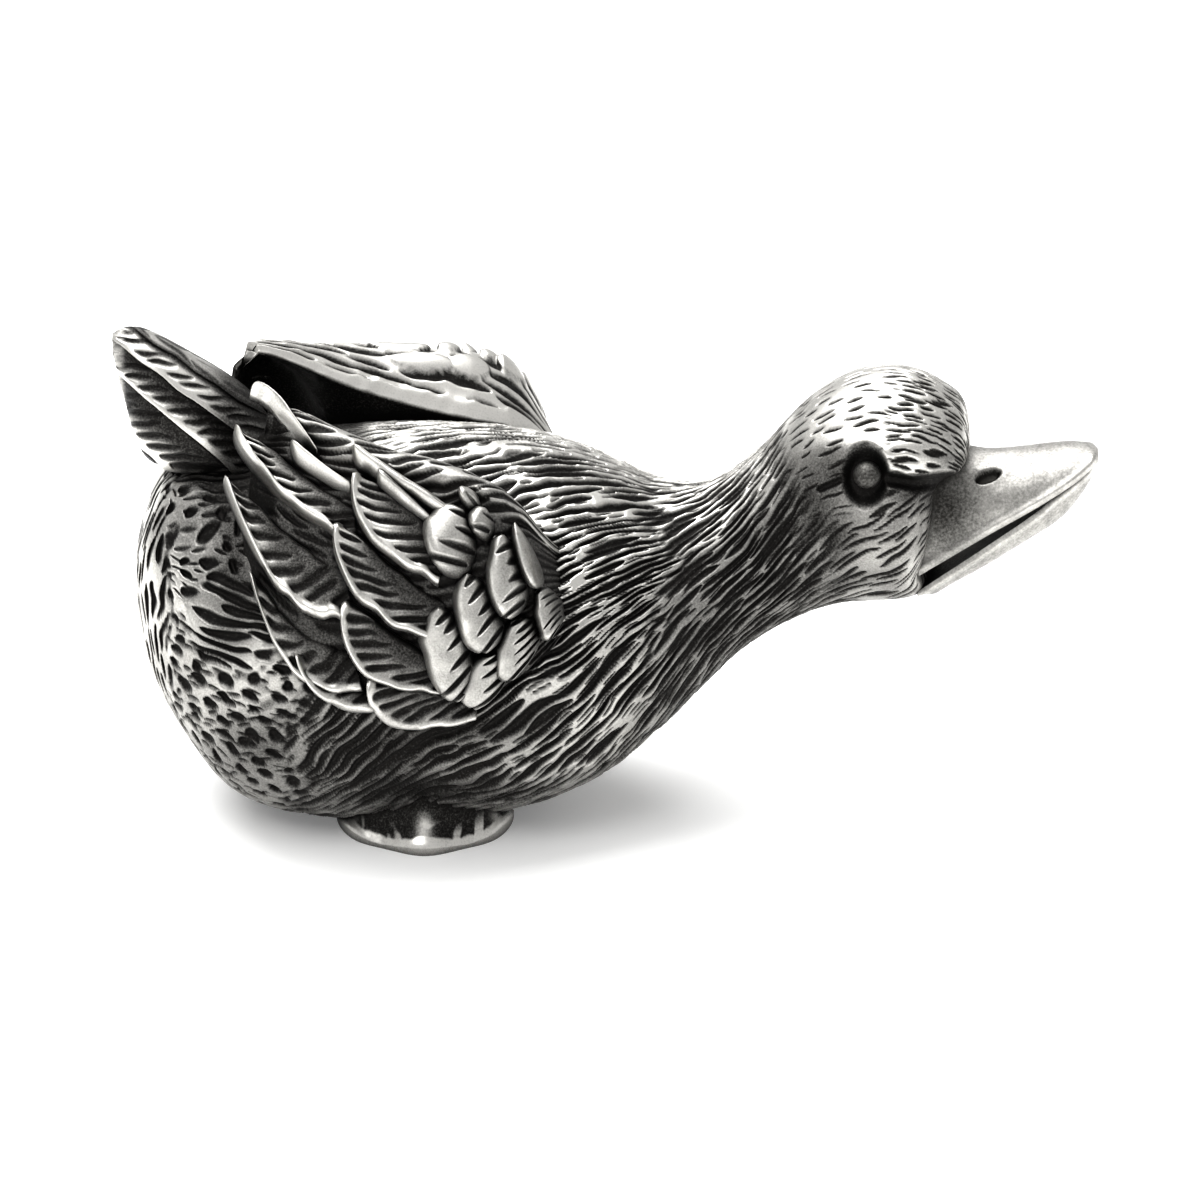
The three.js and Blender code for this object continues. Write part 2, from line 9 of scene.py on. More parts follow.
import bpy
import numpy as np
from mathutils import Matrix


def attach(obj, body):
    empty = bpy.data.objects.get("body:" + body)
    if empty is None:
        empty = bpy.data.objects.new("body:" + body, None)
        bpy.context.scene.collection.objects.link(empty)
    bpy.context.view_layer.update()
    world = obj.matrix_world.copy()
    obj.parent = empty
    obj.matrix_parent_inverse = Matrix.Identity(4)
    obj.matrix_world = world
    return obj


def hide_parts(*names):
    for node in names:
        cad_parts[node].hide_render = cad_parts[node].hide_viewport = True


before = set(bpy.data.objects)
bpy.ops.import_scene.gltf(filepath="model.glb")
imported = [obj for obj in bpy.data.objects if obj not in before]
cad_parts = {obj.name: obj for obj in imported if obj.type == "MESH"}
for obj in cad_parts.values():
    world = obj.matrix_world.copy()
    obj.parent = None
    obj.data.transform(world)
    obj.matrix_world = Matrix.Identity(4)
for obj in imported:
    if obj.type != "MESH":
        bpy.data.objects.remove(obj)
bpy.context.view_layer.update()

MM = 0.001
SIDES = {"right": -1, "left": 1}
print("castings:", sorted(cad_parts))

# %% [markdown]
# The figurine was modelled in clay before it was cast, and its plumage hides a simple body: ovals
# threaded on a spine that runs from rump to forehead. Each row below is one oval. A smooth curve through
# the rows gives every oval in between, so the skin is a function of two numbers: how far along the spine,
# and what angle round it. Everything else on the duck is placed by those two numbers.

# %% The spine, and the smooth curve through its stations
# along X, height, half height, half width, lean towards the tail in degrees, squareness underneath
SPINE = np.array([
    (-28.3, 18.2, 0.0, 0.0, -16, 2.0), (-27.9, 18.2, 3.2, 3.7, -16, 2.0),
    (-26.6, 16.1, 6.8, 6.5, -12, 2.1), (-24.6, 14.0, 9.0, 8.7, -8, 2.2),
    (-21.8, 12.4, 11.0, 10.3, -5, 2.3), (-17.8, 11.8, 11.9, 11.2, -2, 2.3),
    (-12.6, 11.8, 12.2, 11.5, 0, 2.3), (-7.2, 12.0, 11.9, 11.4, 5, 2.3),
    (-2.6, 12.9, 10.7, 10.8, 11, 2.3), (0.8, 14.0, 8.9, 9.6, 17, 2.2),
    (3.4, 14.8, 7.2, 8.0, 22, 2.1), (5.8, 15.4, 5.7, 6.5, 27, 2.0),
    (8.6, 16.3, 4.9, 5.4, 30, 2.0), (11.6, 18.0, 5.3, 5.3, 26, 2.0),
    (14.2, 19.8, 6.6, 5.9, 17, 2.0), (16.7, 20.8, 7.3, 6.3, 12, 2.0),
    (18.7, 21.2, 7.1, 6.0, 6, 2.0), (20.3, 21.3, 6.1, 5.1, -1, 2.0),
    (21.3, 21.0, 4.6, 3.9, -9, 2.0), (21.9, 20.8, 0.0, 0.0, -12, 2.0),
], float)
NECK_JOINT_X = 10.2
SPINE_END = len(SPINE) - 1
# The skin stops this share of a station short of each end, where a ring would shrink to a point.
TIP_INSET = 0.02
# The face is set back under the forehead: the share of how far it lies past a start, and the heights
# where that share is nothing and all, towards the chin and towards the brow.
FACE_START_X, FACE_SHARE = 17.8, 0.45
FACE_CHIN, FACE_BROW = (14.6, 16.6), (23.6, 21.8)
# How many places along the spine are kept, to look one up by its x.
PLACE_COUNT = 4000


def smooth(start, end, value):
    """0 at the start, 1 at the end, and 3 t squared - 2 t cubed between them."""
    t = np.clip((value - start) / (end - start), 0, 1)
    return t * t * (3 - 2 * t)


def curve(a, b, c, d, f):
    """Catmull-Rom curve at the share f of the way from b to c. It is half of: twice b, plus the chord from
    a to c times f, plus the bend times f squared, plus the twist times f cubed."""
    bend, twist = 2 * a - 5 * b + 4 * c - d, 3 * b - 3 * c + d - a
    return 0.5 * (2 * b + (c - a) * f + bend * f**2 + twist * f**3)


def through(rows, place, before=None, after=None):
    """The curve through rows, at places counted in rows. The rows beyond the two ends, where they aren't
    given, carry on straight."""
    if before is None:
        before, after = 2 * rows[0] - rows[1], 2 * rows[-1] - rows[-2]
    padded = np.concatenate([before[None], rows, after[None]])
    index = np.clip(np.floor(place).astype(int), 0, len(rows) - 2)
    return curve(*(padded[index + k] for k in range(4)), (place - index)[:, None])


def spine_at(place):
    """The oval at a place on the spine. Past each end the ovals mirror, which closes the ends round."""
    mirror = np.array([1, 1, -1, -1, 1, 1])
    return through(SPINE, place, SPINE[1] * mirror, SPINE[-2] * mirror)


PLACES = np.linspace(0, SPINE_END, PLACE_COUNT)
PLACES_X = np.maximum.accumulate(spine_at(PLACES)[:, 0])


def place_on_spine(x):
    """The place, counted in stations, where the spine passes x."""
    return np.interp(x, PLACES_X, PLACES)


def skin(place, angle, rise=0.0, side=1):
    """A point of the duck's skin in mm. The angle runs from the back over the side: the oval's height times
    its cosine, its width times its sine, both pushed out by the rise, then leant towards the tail. In the
    lower half, cosine and sine are first raised to 2 over the squareness. Last, the face moves back under
    the forehead."""
    place, angle, rise, side = np.broadcast_arrays(place, angle, rise, side)
    x, z, high, wide, lean, square = spine_at(place.ravel()).T
    cos, sin, push = np.cos(angle.ravel()), np.sin(angle.ravel()), rise.ravel()
    power = np.where(cos < 0, 2 / square, 1)
    up = high * np.sign(cos) * np.abs(cos) ** power + push * cos
    out = wide * np.sign(sin) * np.abs(sin) ** power + push * sin
    tilt = np.radians(lean)
    x, z = x - np.sin(tilt) * up, z + np.cos(tilt) * up
    share = FACE_SHARE * smooth(*FACE_CHIN, z) * smooth(*FACE_BROW, z)
    points = np.stack([x - share * np.maximum(0, x - FACE_START_X), side.ravel() * out, z], -1)
    return points.reshape(place.shape + (3,))


print("spine from x = %.1f to %.1f mm" % (SPINE[0, 0], SPINE[-1, 0]))

# %% [markdown]
# Feathers are marked with hundreds of short lens-shaped cuts, laid like bricks and never quite alike.
# Stamping them one by one would be slow. Instead each point of a surface asks the nine nearest cells of a
# brick pattern where their cut lies, and keeps the deepest. The random numbers come from hashing a cell's
# own address, so the same cut comes out whichever point asks, on every run.

# %% Hashed random numbers, smooth noise and brick-laid cuts
HASH_STEPS, HASH_SCALE = (127.1, 311.7, 74.7), 43758.5453
# Lines of cuts stray by a slow wave and a share of a quick one. Their sizes in mm are along and across.
SLOW_WAVE, QUICK_WAVE, QUICK_SHARE = (3.1, 1.9), (0.9, 1.1), 0.3
# The wall of a cut falls between these shares of its half width, and so does the wall of a slot.
CUT_WALL, SLOT_WALL = (1.5, 0.15), (1.4, 0.3)
# Half the least width in mm, which keeps the pointed ends from dividing by nothing.
THINNEST = 1e-6
# Brings the product of powers that shapes a slot to about 1 at its widest.
SLOT_PEAK = 1.75


def hashed(i, j, seed):
    """A number from 0 to 1 for each pair of whole numbers: the fraction of a large scaled sine."""
    value = np.sin(i * HASH_STEPS[0] + j * HASH_STEPS[1] + seed * HASH_STEPS[2]) * HASH_SCALE
    return value - np.floor(value)


def noise(u, v, seed, size=1.0):
    """Value noise from -1 to 1: hashed corners of each square of that size, blended smoothly."""
    u, v = u / size, v / size
    i, j = np.floor(u), np.floor(v)
    s, t = smooth(0, 1, u - i), smooth(0, 1, v - j)
    low = hashed(i, j, seed) * (1 - s) + hashed(i + 1, j, seed) * s
    high = hashed(i, j + 1, seed) * (1 - s) + hashed(i + 1, j + 1, seed) * s
    return 2 * (low * (1 - t) + high * t) - 1


def wander(along, across, amount, seed):
    """How far, in mm, a line of cuts strays sideways: a slow wave, and a smaller quick one."""
    slow = noise(along / SLOW_WAVE[0], across / SLOW_WAVE[1], seed)
    quick = noise(along / QUICK_WAVE[0], across / QUICK_WAVE[1], seed + 5)
    return amount * (slow + QUICK_SHARE * quick)


def cuts(along, across, kind, seed):
    """Depth, 0 to 1, of lens-shaped cuts. A kind is the length, pitch and width in mm, the share of its
    length that a cut fills, and how far it may skew. Along a cut, its half width is the full one times the
    root of one less the squared share of its half length. Four random numbers vary its length, its place
    along, its place across, and both its width and its skew."""
    length, pitch, width, fill, skew = kind
    deepest = np.zeros(np.broadcast(along, across).shape)
    row_here = np.floor(across / pitch)
    for row in (row_here - 1, row_here, row_here + 1):
        shifted = along / length + hashed(row, 7, seed)
        cell_here = np.floor(shifted)
        for cell in (cell_here - 1, cell_here, cell_here + 1):
            long, ahead, aside, wide = (hashed(cell, row, seed + k) for k in (1, 2, 3, 4))
            half = 0.5 * length * fill * (0.55 + 0.6 * long)
            on = (shifted - cell - 0.5 - 0.3 * (ahead - 0.5)) * length
            off = across - (row + 0.5 + 0.45 * (aside - 0.5)) * pitch - 2 * skew * (wide - 0.5) * on
            lens = np.sqrt(np.clip(1 - (on / half) ** 2, 0, 1))
            half_width = 0.5 * width * (0.75 + 0.6 * wide) * lens + THINNEST
            deepest = np.maximum(deepest, np.sqrt(lens) * smooth(*CUT_WALL, np.abs(off) / half_width))
    return deepest


def combed(rows, share, pitch, width, seed):
    """Depth, 0 to 1, of slots side by side, one to each row of that pitch in mm. The share runs from 0 to 1
    along a slot, whose half width is the full one times share to the 0.3, times the rest to the 0.6. Four
    random numbers vary its place across, its start, its length and its width."""
    row = np.floor(rows / pitch)
    aside, late, long, wide = (hashed(row, k, seed) for k in (3, 5, 9, 11))
    off = rows - (row + 0.5 + 0.3 * (aside - 0.5)) * pitch
    on = np.clip((share - 0.12 * late) / (0.7 + 0.5 * long), 0, 1)
    lens = SLOT_PEAK * on**0.3 * (1 - on) ** 0.6
    half_width = 0.5 * width * (0.8 + 0.4 * wide) * lens + THINNEST
    return np.sqrt(np.minimum(lens, 1)) * smooth(*SLOT_WALL, np.abs(off) / half_width)


trial = np.linspace(0, 100, 2001)
print("noise averages %.2f over 100 squares" % noise(trial, 0 * trial, 1).mean())

# %% [markdown]
# Every piece is made of closed tubes: rings of points joined by four-sided faces, with each end shut by
# a fan to its middle. With each point goes one number, its wear with painted light: 0 is the black bottom of
# a cut and 1 is a ridge rubbed bright. Besides real wear it carries painted shade and painted highlights,
# set where the light falls, and the metal finish reads it. Faces must point outwards, so the sign of the
# volume under the faces says whether a tube has to be turned.

# %% Closed tubes, and a piece made of them
def tube(rings, wear_and_painted_light, creases=(), sharp_ends=False):
    """Points, faces, wear and sharp edges of one tube. rings is (rows, columns, 3) in mm, closed round its
    columns. A face of three corners repeats its last. A crease is a column that stays sharp."""
    rows, columns = rings.shape[:2]
    grid = np.arange(rows * columns).reshape(rows, columns)
    turned = np.roll(grid, -1, 1)
    wall = np.stack([grid[:-1], turned[:-1], turned[1:], grid[1:]], -1).reshape(-1, 4)
    first = np.full(columns, rows * columns)
    near = np.stack([turned[0], grid[0], first, first], -1)
    far = np.stack([grid[-1], turned[-1], first + 1, first + 1], -1)
    faces = np.concatenate([wall, near, far])
    points = np.concatenate([rings.reshape(-1, 3), rings[[0, -1]].mean(1)])
    wear_and_painted_light = np.clip(np.broadcast_to(wear_and_painted_light, (rows, columns)), 0, 1)
    wear_and_painted_light = np.concatenate([wear_and_painted_light.ravel(), wear_and_painted_light[[0, -1]].mean(1)])
    if volume_under(points, faces) < 0:
        faces = faces[:, [1, 0, 3, 2]]
    sharp = [np.stack([grid[:-1, c], grid[1:, c]], -1) for c in creases]
    if sharp_ends:
        sharp += [np.stack([grid[r], turned[r]], -1) for r in (0, -1)]
    return points, faces, wear_and_painted_light, np.concatenate(sharp) if sharp else np.zeros((0, 2), int)


def volume_under(points, faces):
    """Six times the enclosed volume: each face's corners a, b, c, d give a . (b x c) + a . (c x d)."""
    a, b, c, d = (points[faces[:, k]] - points[0] for k in range(4))
    return float((a * (np.cross(b, c) + np.cross(c, d))).sum())


def make_piece(name, tubes, nodes, slot):
    """Joins tubes into one object in metres, smooth but for its sharp edges, and hands it to the frame. Its
    slot names its finish."""
    counts = np.cumsum([0] + [len(t[0]) for t in tubes])
    points = np.concatenate([t[0] for t in tubes]) * MM
    faces = np.concatenate([t[1] + start for t, start in zip(tubes, counts)])
    wear_and_painted_light = np.concatenate([t[2] for t in tubes])
    sharp = np.concatenate([t[3] + start for t, start in zip(tubes, counts)])
    three = faces[:, 3] == faces[:, 2]
    corners = np.ones(faces.shape, bool)
    corners[three, 3] = False
    totals = corners.sum(1)
    mesh = bpy.data.meshes.new(name)
    mesh.vertices.add(len(points))
    mesh.vertices.foreach_set("co", points.ravel())
    mesh.loops.add(int(totals.sum()))
    mesh.loops.foreach_set("vertex_index", faces[corners])
    mesh.polygons.add(len(faces))
    mesh.polygons.foreach_set("loop_start", np.cumsum(totals) - totals)
    mesh.polygons.foreach_set("loop_total", totals)
    mesh.polygons.foreach_set("use_smooth", np.ones(len(faces), bool))
    mesh.update(calc_edges=True)
    # The wear attribute holds real wear together with painted shade and painted highlights.
    mesh.attributes.new("wear_and_painted_light", "FLOAT", "POINT").data.foreach_set("value", wear_and_painted_light)
    keep_sharp(mesh, sharp, len(points))
    mesh.materials.append(FINISHES[slot])
    piece = bpy.data.objects.new(name, mesh)
    bpy.context.scene.collection.objects.link(piece)
    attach(piece, "root")
    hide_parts(*nodes)
    print("%s: %d triangles" % (name, int((totals - 2).sum())))
    return piece


def keep_sharp(mesh, pairs, point_count):
    """Marks the edges between the given pairs of points, matched by one number made of both ends."""
    ends = np.empty(len(mesh.edges) * 2, int)
    mesh.edges.foreach_get("vertices", ends)
    ends = np.sort(ends.reshape(-1, 2), 1)
    pairs = np.sort(pairs, 1)
    found = np.isin(ends[:, 0] * point_count + ends[:, 1], pairs[:, 0] * point_count + pairs[:, 1])
    mesh.attributes.new("sharp_edge", "BOOLEAN", "EDGE").data.foreach_set("value", found)


print("tubes ready")

# %% [markdown]
# Antique pewter starts as a bright tin casting. It is dipped until it turns black all over, then rubbed
# back with a cloth or in a tumbler: ridges come up silver, and the cuts stay black. So the finish needs two
# metals and a mask. The mask is the piece's own wear and painted light, less where ambient occlusion finds a
# hollow that no cloth reaches, and broken up by fine mottling. The occlusion counts the table as well, so
# close to it the mask darkens as painted contact shade.

# %% The antiqued metal finish
def linear(hex_colour):
    """A linear colour from an sRGB hex value: up to 0.04045 divided by 12.92, above it a 2.4 power."""
    parts = [int(hex_colour[k:k + 2], 16) / 255 for k in (1, 3, 5)]
    return [p / 12.92 if p <= 0.04045 else ((p + 0.055) / 1.055) ** 2.4 for p in parts] + [1]


def add(tree, kind, sockets, **settings):
    """Adds a node with its settings, fills or links its sockets, and returns its outputs."""
    new = tree.nodes.new("ShaderNode" + kind)
    for name, value in settings.items():
        setattr(new, name, value)
    for name, value in sockets.items():
        if isinstance(value, bpy.types.NodeSocket):
            tree.links.new(value, new.inputs[name])
        else:
            new.inputs[name].default_value = value
    return new.outputs


def per_mm(size):
    """A noise scale on Object coordinates, in metres, for a pattern of that size in mm."""
    return 1 / (size * MM)


# Rubbing brightens ridges late and then quickly, so the mask is raised to this power.
CONTRAST = 1.5
# The cloth reaches nothing where less than the first share of the sky is open, and all above the second.
# The table counts as well, so a piece close to it darkens there as painted shade.
OPEN_SKY = {"From Min": 0.35, "From Max": 0.85}
# The grain's noise keeps mostly between these values.
GRAIN_SPAN = {"From Min": 0.3, "From Max": 0.7}
# Depth in mm of the pits that sand casting leaves, and how strongly they tilt the light.
PIT_DEPTH, PIT_STRENGTH = 0.02, 0.25


def antiqued(name, black, bright, rough_black, rough_bright, hollow, mottle, pit):
    """Cast metal, blackened and rubbed back. hollow is the reach of the occlusion in mm, mottle the share
    by which the mask is broken up, and pit the size of the pits in mm."""
    finish = bpy.data.materials.new(name)
    finish.use_nodes = True
    tree = finish.node_tree
    tree.nodes.clear()
    place = add(tree, "TexCoord", {})["Object"]
    wear_and_painted_light = add(tree, "Attribute", {}, attribute_name="wear_and_painted_light")["Fac"]
    open_sky = add(tree, "AmbientOcclusion", {"Distance": hollow * MM}, samples=8)["AO"]
    sizes = {"Vector": place, "Scale": per_mm(pit), "Detail": 4.0, "Roughness": 0.6}
    grain = add(tree, "TexNoise", sizes)["Fac"]
    spread = {"Value": grain, **GRAIN_SPAN, "To Min": -mottle, "To Max": mottle}
    mottling = add(tree, "MapRange", spread)["Result"]
    mixed = add(tree, "Math", {0: wear_and_painted_light, 1: mottling}, operation="ADD")[0]
    reached = add(tree, "MapRange", {"Value": open_sky, **OPEN_SKY})["Result"]
    open_wear_and_painted_light = add(tree, "Math", {0: mixed, 1: reached}, operation="MULTIPLY", use_clamp=True)[0]
    rubbed_and_lit = add(tree, "Math", {0: open_wear_and_painted_light, 1: CONTRAST}, operation="POWER")[0]
    tones = {"Factor": rubbed_and_lit, 6: linear(black), 7: linear(bright)}
    colour = add(tree, "Mix", tones, data_type="RGBA")[2]
    shine = {"Value": rubbed_and_lit, "To Min": rough_black, "To Max": rough_bright}
    rough = add(tree, "MapRange", shine)["Result"]
    pits = {"Height": grain, "Strength": PIT_STRENGTH, "Distance": PIT_DEPTH * MM}
    bump = add(tree, "Bump", pits)["Normal"]
    metal = {"Base Color": colour, "Metallic": 1.0, "Roughness": rough, "Normal": bump}
    shader = add(tree, "BsdfPrincipled", metal)["BSDF"]
    add(tree, "OutputMaterial", {"Surface": shader})
    return finish


LOOKS = {
    # Cast pewter, blackened and rubbed back: silver ridges over near-black cuts, a soft satin shine.
    "antique_pewter": {
        "black": "#191817", "bright": "#cac8c3", "rough_black": 0.6, "rough_bright": 0.32,
        "hollow": 1.2, "mottle": 0.14, "pit": 0.12,
    },
    # The same pewter where fingers polish it: evener, brighter, with dark pin pits.
    "rubbed_pewter": {
        "black": "#242321", "bright": "#c4c2bd", "rough_black": 0.55, "rough_bright": 0.38,
        "hollow": 1.0, "mottle": 0.16, "pit": 0.16,
    },
}
FINISHES = {name: antiqued(name, **look) for name, look in LOOKS.items()}
print("finishes:", [finish.name for finish in FINISHES.values()])

# %% [markdown]
# The body carries five kinds of cuts. Long ones on the mantle, breast and flank, and finer ones on the
# neck, sweep back and down from the spine like the feather tracts of a real bird. To keep their real length
# on a curved skin, distances are measured along the surface. The rump has pits, level grooves and flutes
# round its end, measured by height and by the turn round an upright axis.

# %% Distances on the skin, and the height that the side view sees
FRONT_X = -8.0
VIEW_TILT = math.radians(25)
TABLE_ROWS, TABLE_COLUMNS = 700, 91
TABLE_PLACES = np.linspace(TIP_INSET, SPINE_END - TIP_INSET, TABLE_ROWS)
TABLE_ANGLES = np.linspace(0, math.pi, TABLE_COLUMNS)
TABLE_SKIN = skin(TABLE_PLACES[:, None], TABLE_ANGLES[None, :])
STEPS = np.linalg.norm(np.diff(TABLE_SKIN, axis=0), axis=2)
TRAVELLED = np.concatenate([np.zeros((1, TABLE_COLUMNS)), np.cumsum(STEPS, 0)])
TRAVELLED -= TRAVELLED[np.searchsorted(TABLE_PLACES, place_on_spine(FRONT_X))]
# Looked up only this far, in entries, so that each entry has a next one to blend with.
LAST_ROW, LAST_COLUMN = TABLE_ROWS - 1.001, TABLE_COLUMNS - 1.001


def travelled(place, angle):
    """Distance in mm along the skin's line of that angle from x = FRONT_X, read between table entries."""
    i = np.clip((place - TABLE_PLACES[0]) / (TABLE_PLACES[1] - TABLE_PLACES[0]), 0, LAST_ROW)
    j = np.clip(np.abs(angle) / (TABLE_ANGLES[1] - TABLE_ANGLES[0]), 0, LAST_COLUMN)
    low, left = i.astype(int), j.astype(int)
    s, t = i - low, j - left
    near = TRAVELLED[low, left] * (1 - t) + TRAVELLED[low, left + 1] * t
    return near * (1 - s) + (TRAVELLED[low + 1, left] * (1 - t) + TRAVELLED[low + 1, left + 1] * t) * s


def even_places(first, last, count):
    """Places between two ends whose rings lie equally far apart, by the mean of seven lines on the skin."""
    inside = (TABLE_PLACES > first) & (TABLE_PLACES < last)
    places = np.concatenate([[first], TABLE_PLACES[inside], [last]])
    ends = skin(places[:, None], np.linspace(0, math.pi, 7)[None, :])
    lengths = np.linalg.norm(np.diff(ends, axis=0), axis=2).mean(1)
    run = np.concatenate([[0], np.cumsum(lengths)])
    return np.interp(np.linspace(0, run[-1], count), run, places)


def seen_height(points):
    """Height across the line of sight of a side view from 25 degrees above: z cos 25 - |y| sin 25."""
    return points[..., 2] * math.cos(VIEW_TILT) - np.abs(points[..., 1]) * math.sin(VIEW_TILT)


def spot(x, height, at_x, at_height, reach_x, reach_height):
    """1 at a place in the side view, falling off round it as a bell: e to the minus squared distance."""
    return np.exp(-((x - at_x) / reach_x) ** 2 - ((height - at_height) / reach_height) ** 2)


def shadowed(wear_and_painted_light, x, height, shadows):
    """The wear, darkened by painted shade. A shadow is a spot of painted shade, and the share of the wear it
    takes.
    """
    for *place_seen, loss in shadows:
        wear_and_painted_light = wear_and_painted_light * (1 - loss * spot(x, height, *place_seen))
    return wear_and_painted_light


on_side = TRAVELLED[:, TABLE_COLUMNS // 2]
print("from x = %.0f mm: %.1f mm to the rump, %.1f mm to the forehead, along the side"
      % (FRONT_X, -on_side[0], on_side[-1]))

# %% The kinds of cuts, and where each belongs
# length, pitch and width in mm, share of the length that a cut fills, skew
LONG_CUTS, LONG_LINES = (4.4, 0.76, 0.54, 1.15, 0.05), (1.6, 0.5, 0.2, 0.85, 0.06)
NECK_CUTS, NECK_LINES = (3.4, 0.56, 0.4, 1.15, 0.05), (1.5, 0.4, 0.18, 0.85, 0.12)
RUMP_PITS, RUMP_LINES = (1.7, 1.05, 0.66, 0.66, 0.3), (1.3, 0.62, 0.24, 0.7, 0.4)
RUMP_GROOVES, RUMP_FLUTES = (4.2, 0.72, 0.56, 1.2, 0.06), (2.8, 0.6, 0.34, 0.95, 0.12)
# Depth in mm of the body's cuts and of the neck's, and the share of it that the thin lines have.
CUT_DEPTH, NECK_CUT_DEPTH, LINE_SHARE = 0.44, 0.28, 0.5
# A region fades in between two values: of x in mm, of the angle from the back, or of the height in mm.
NECK_X, RUMP_X, UNDER_TAIL_X, RUMP_END_X = (1.5, 5.5), (-17.5, -20.5), (-25.0, -26.5), (-26.0, -27.4)
OFF_BACK_ANGLE, HIDDEN_BACK_ANGLE, HIDDEN_BACK_X = (0.4, 0.65), (0.55, 0.4), (-13.5, -15.5)
BELLY_HEIGHT = (0.9, 0.2)
# Borders stray to and fro, in bends of this size in mm, and by this much in mm at the neck and at the rump.
STRAY_SIZE, NECK_STRAY, RUMP_STRAY = 2.2, 1.5, 1.6


def lined_cuts(along, across, kind, lines, seed):
    """Cuts of one kind, and thin shallow lines in what they leave."""
    return np.maximum(cuts(along, across, kind, seed), LINE_SHARE * cuts(along, across, lines, seed + 7))


def body_regions(points, size, stray):
    """How far a point belongs to the neck, to the rump and to the back that the wings and tail hide, each
    from 0 to 1."""
    x = points[..., 0]
    on_neck = smooth(*NECK_X, x + NECK_STRAY * stray)
    under_tail = smooth(*UNDER_TAIL_X, x)
    off_back = np.maximum(smooth(*OFF_BACK_ANGLE, size), under_tail)
    on_rump = smooth(*RUMP_X, x + RUMP_STRAY * stray) * off_back
    hidden_back = smooth(*HIDDEN_BACK_ANGLE, size) * smooth(*HIDDEN_BACK_X, x) * (1 - under_tail)
    return on_neck, on_rump, hidden_back


print("cuts %.2f to %.2f mm apart" % (NECK_LINES[1], RUMP_PITS[1]))

# %% The body's cuts
BREAST_RADIUS, NECK_RADIUS, RUMP_RADIUS, RUMP_AXIS_X = 10.5, 6.0, 11.0, -16.0
SWEEP_SLOPE, SWEEP_START, SWEEP_EASE = 0.42, -15.0, 1.5
# The flank's cuts are lifted by this many mm, along a stretch of the skin and between two angles.
FLANK_LIFT, FLANK_ALONG, FLANK_ANGLE = 5.5, (-17.0, -2.0), (0.5, 1.9)
# How far in mm the lines of cuts wander sideways.
BREAST_WANDER, NECK_WANDER, RUMP_WANDER, FLUTE_WANDER = 0.36, 0.3, 0.45, 0.5
# The rows of pits are ragged: by how much and in bends of which size, in mm. They also climb round the
# rump, and so do the grooves, by a share of the way round.
RAGGED, RAGGED_SIZE, PIT_CLIMB, GROOVE_CLIMB = 0.12, 0.45, 0.2, 0.1
# Where the rump's grooves lie among its pits: x, seen height and their reaches, and the values of that
# spot between which they fade in.
GROOVED_SPOT, GROOVED_FADE = (-22.8, 10.4, 3.0, 3.0), (0.25, 0.5)


def tract_cuts(along, size, parted, on_neck):
    """Depth of the long cuts and, on the neck, of the finer ones. Across them, distance is the angle from
    where the tracts part times a radius, plus a sweep that starts softly: a slope times the logarithm of
    one plus e to the distance past its start."""
    sweep = SWEEP_SLOPE * SWEEP_EASE * np.logaddexp(0, (along - SWEEP_START) / SWEEP_EASE)
    lift = FLANK_LIFT * smooth(*FLANK_ALONG, along) * smooth(*FLANK_ANGLE, size)
    breast = parted * BREAST_RADIUS + sweep + lift + wander(along, size * BREAST_RADIUS, BREAST_WANDER, 11)
    neck = parted * NECK_RADIUS + sweep + wander(along, size * NECK_RADIUS, NECK_WANDER, 12)
    long_cuts = lined_cuts(along, breast, LONG_CUTS, LONG_LINES, 21)
    return (1 - on_neck) * long_cuts + on_neck * lined_cuts(along, neck, NECK_CUTS, NECK_LINES, 22)


def rump_cuts(points, stray):
    """Depth of the rump's cuts. One coordinate is the height, and the other goes round an upright axis: the
    angle whose tangent is |y| over the distance behind the axis, times the rump's radius."""
    x, z = points[..., 0], points[..., 2]
    turned = RUMP_RADIUS * np.arctan2(np.abs(points[..., 1]), RUMP_AXIS_X - x)
    level = z + wander(turned, z, RUMP_WANDER, 13)
    ragged = level + RAGGED * noise(turned, z, 39, RAGGED_SIZE)
    lines = LINE_SHARE * cuts(turned, level, RUMP_LINES, 37)
    pits = np.maximum(cuts(turned, ragged + PIT_CLIMB * turned, RUMP_PITS, 34), lines)
    grooves = cuts(turned, level + GROOVE_CLIMB * turned, RUMP_GROOVES, 38)
    flutes = cuts(z, turned + wander(z, turned, FLUTE_WANDER, 14), RUMP_FLUTES, 25)
    grooved = smooth(*GROOVED_FADE, spot(x, seen_height(points), *GROOVED_SPOT) + 0.12 * stray)
    at_end = smooth(*RUMP_END_X, x + 0.5 * stray)
    depth = (1 - grooved) * pits + grooved * grooves
    return (1 - at_end) * depth + at_end * flutes


print("cuts up to %.2f mm deep" % CUT_DEPTH)

# %% The body's wear and painted shade, and all of it together
# The tracts part a little to the left of the spine, at this angle.
PARTED_AT = 0.5
# Wear on the side and how much more on top, for the body and the neck, the angles where top begins, and
# the share by which the rump counts as top. The lighter top is partly rubbing and partly painted light from
# above, and the neck's dim side is partly painted shade.
BODY_WEAR_AND_TOP_LIGHT, NECK_WEAR_AND_TOP_LIGHT = (0.74, 0.33), (0.42, 0.6)
BODY_TOP_ANGLE, NECK_TOP_ANGLE = (1.25, 0.75), (1.0, 0.45)
RUMP_SHARE_OF_TOP = 0.25
# A cut is black from this depth on, as a share of the full one.
BLACK_AT = 0.62
# How much darker the back is where the wings and tail hide it, and how much of its cuts' depth it loses.
HIDDEN_LOSS, HIDDEN_FLATTENING = 0.85, 0.6
# Casting grain: its height and size in mm, and the radius that turns angles into mm for it.
GRAIN_HEIGHT, GRAIN_SIZE, GRAIN_RADIUS = 0.02, 0.35, 9
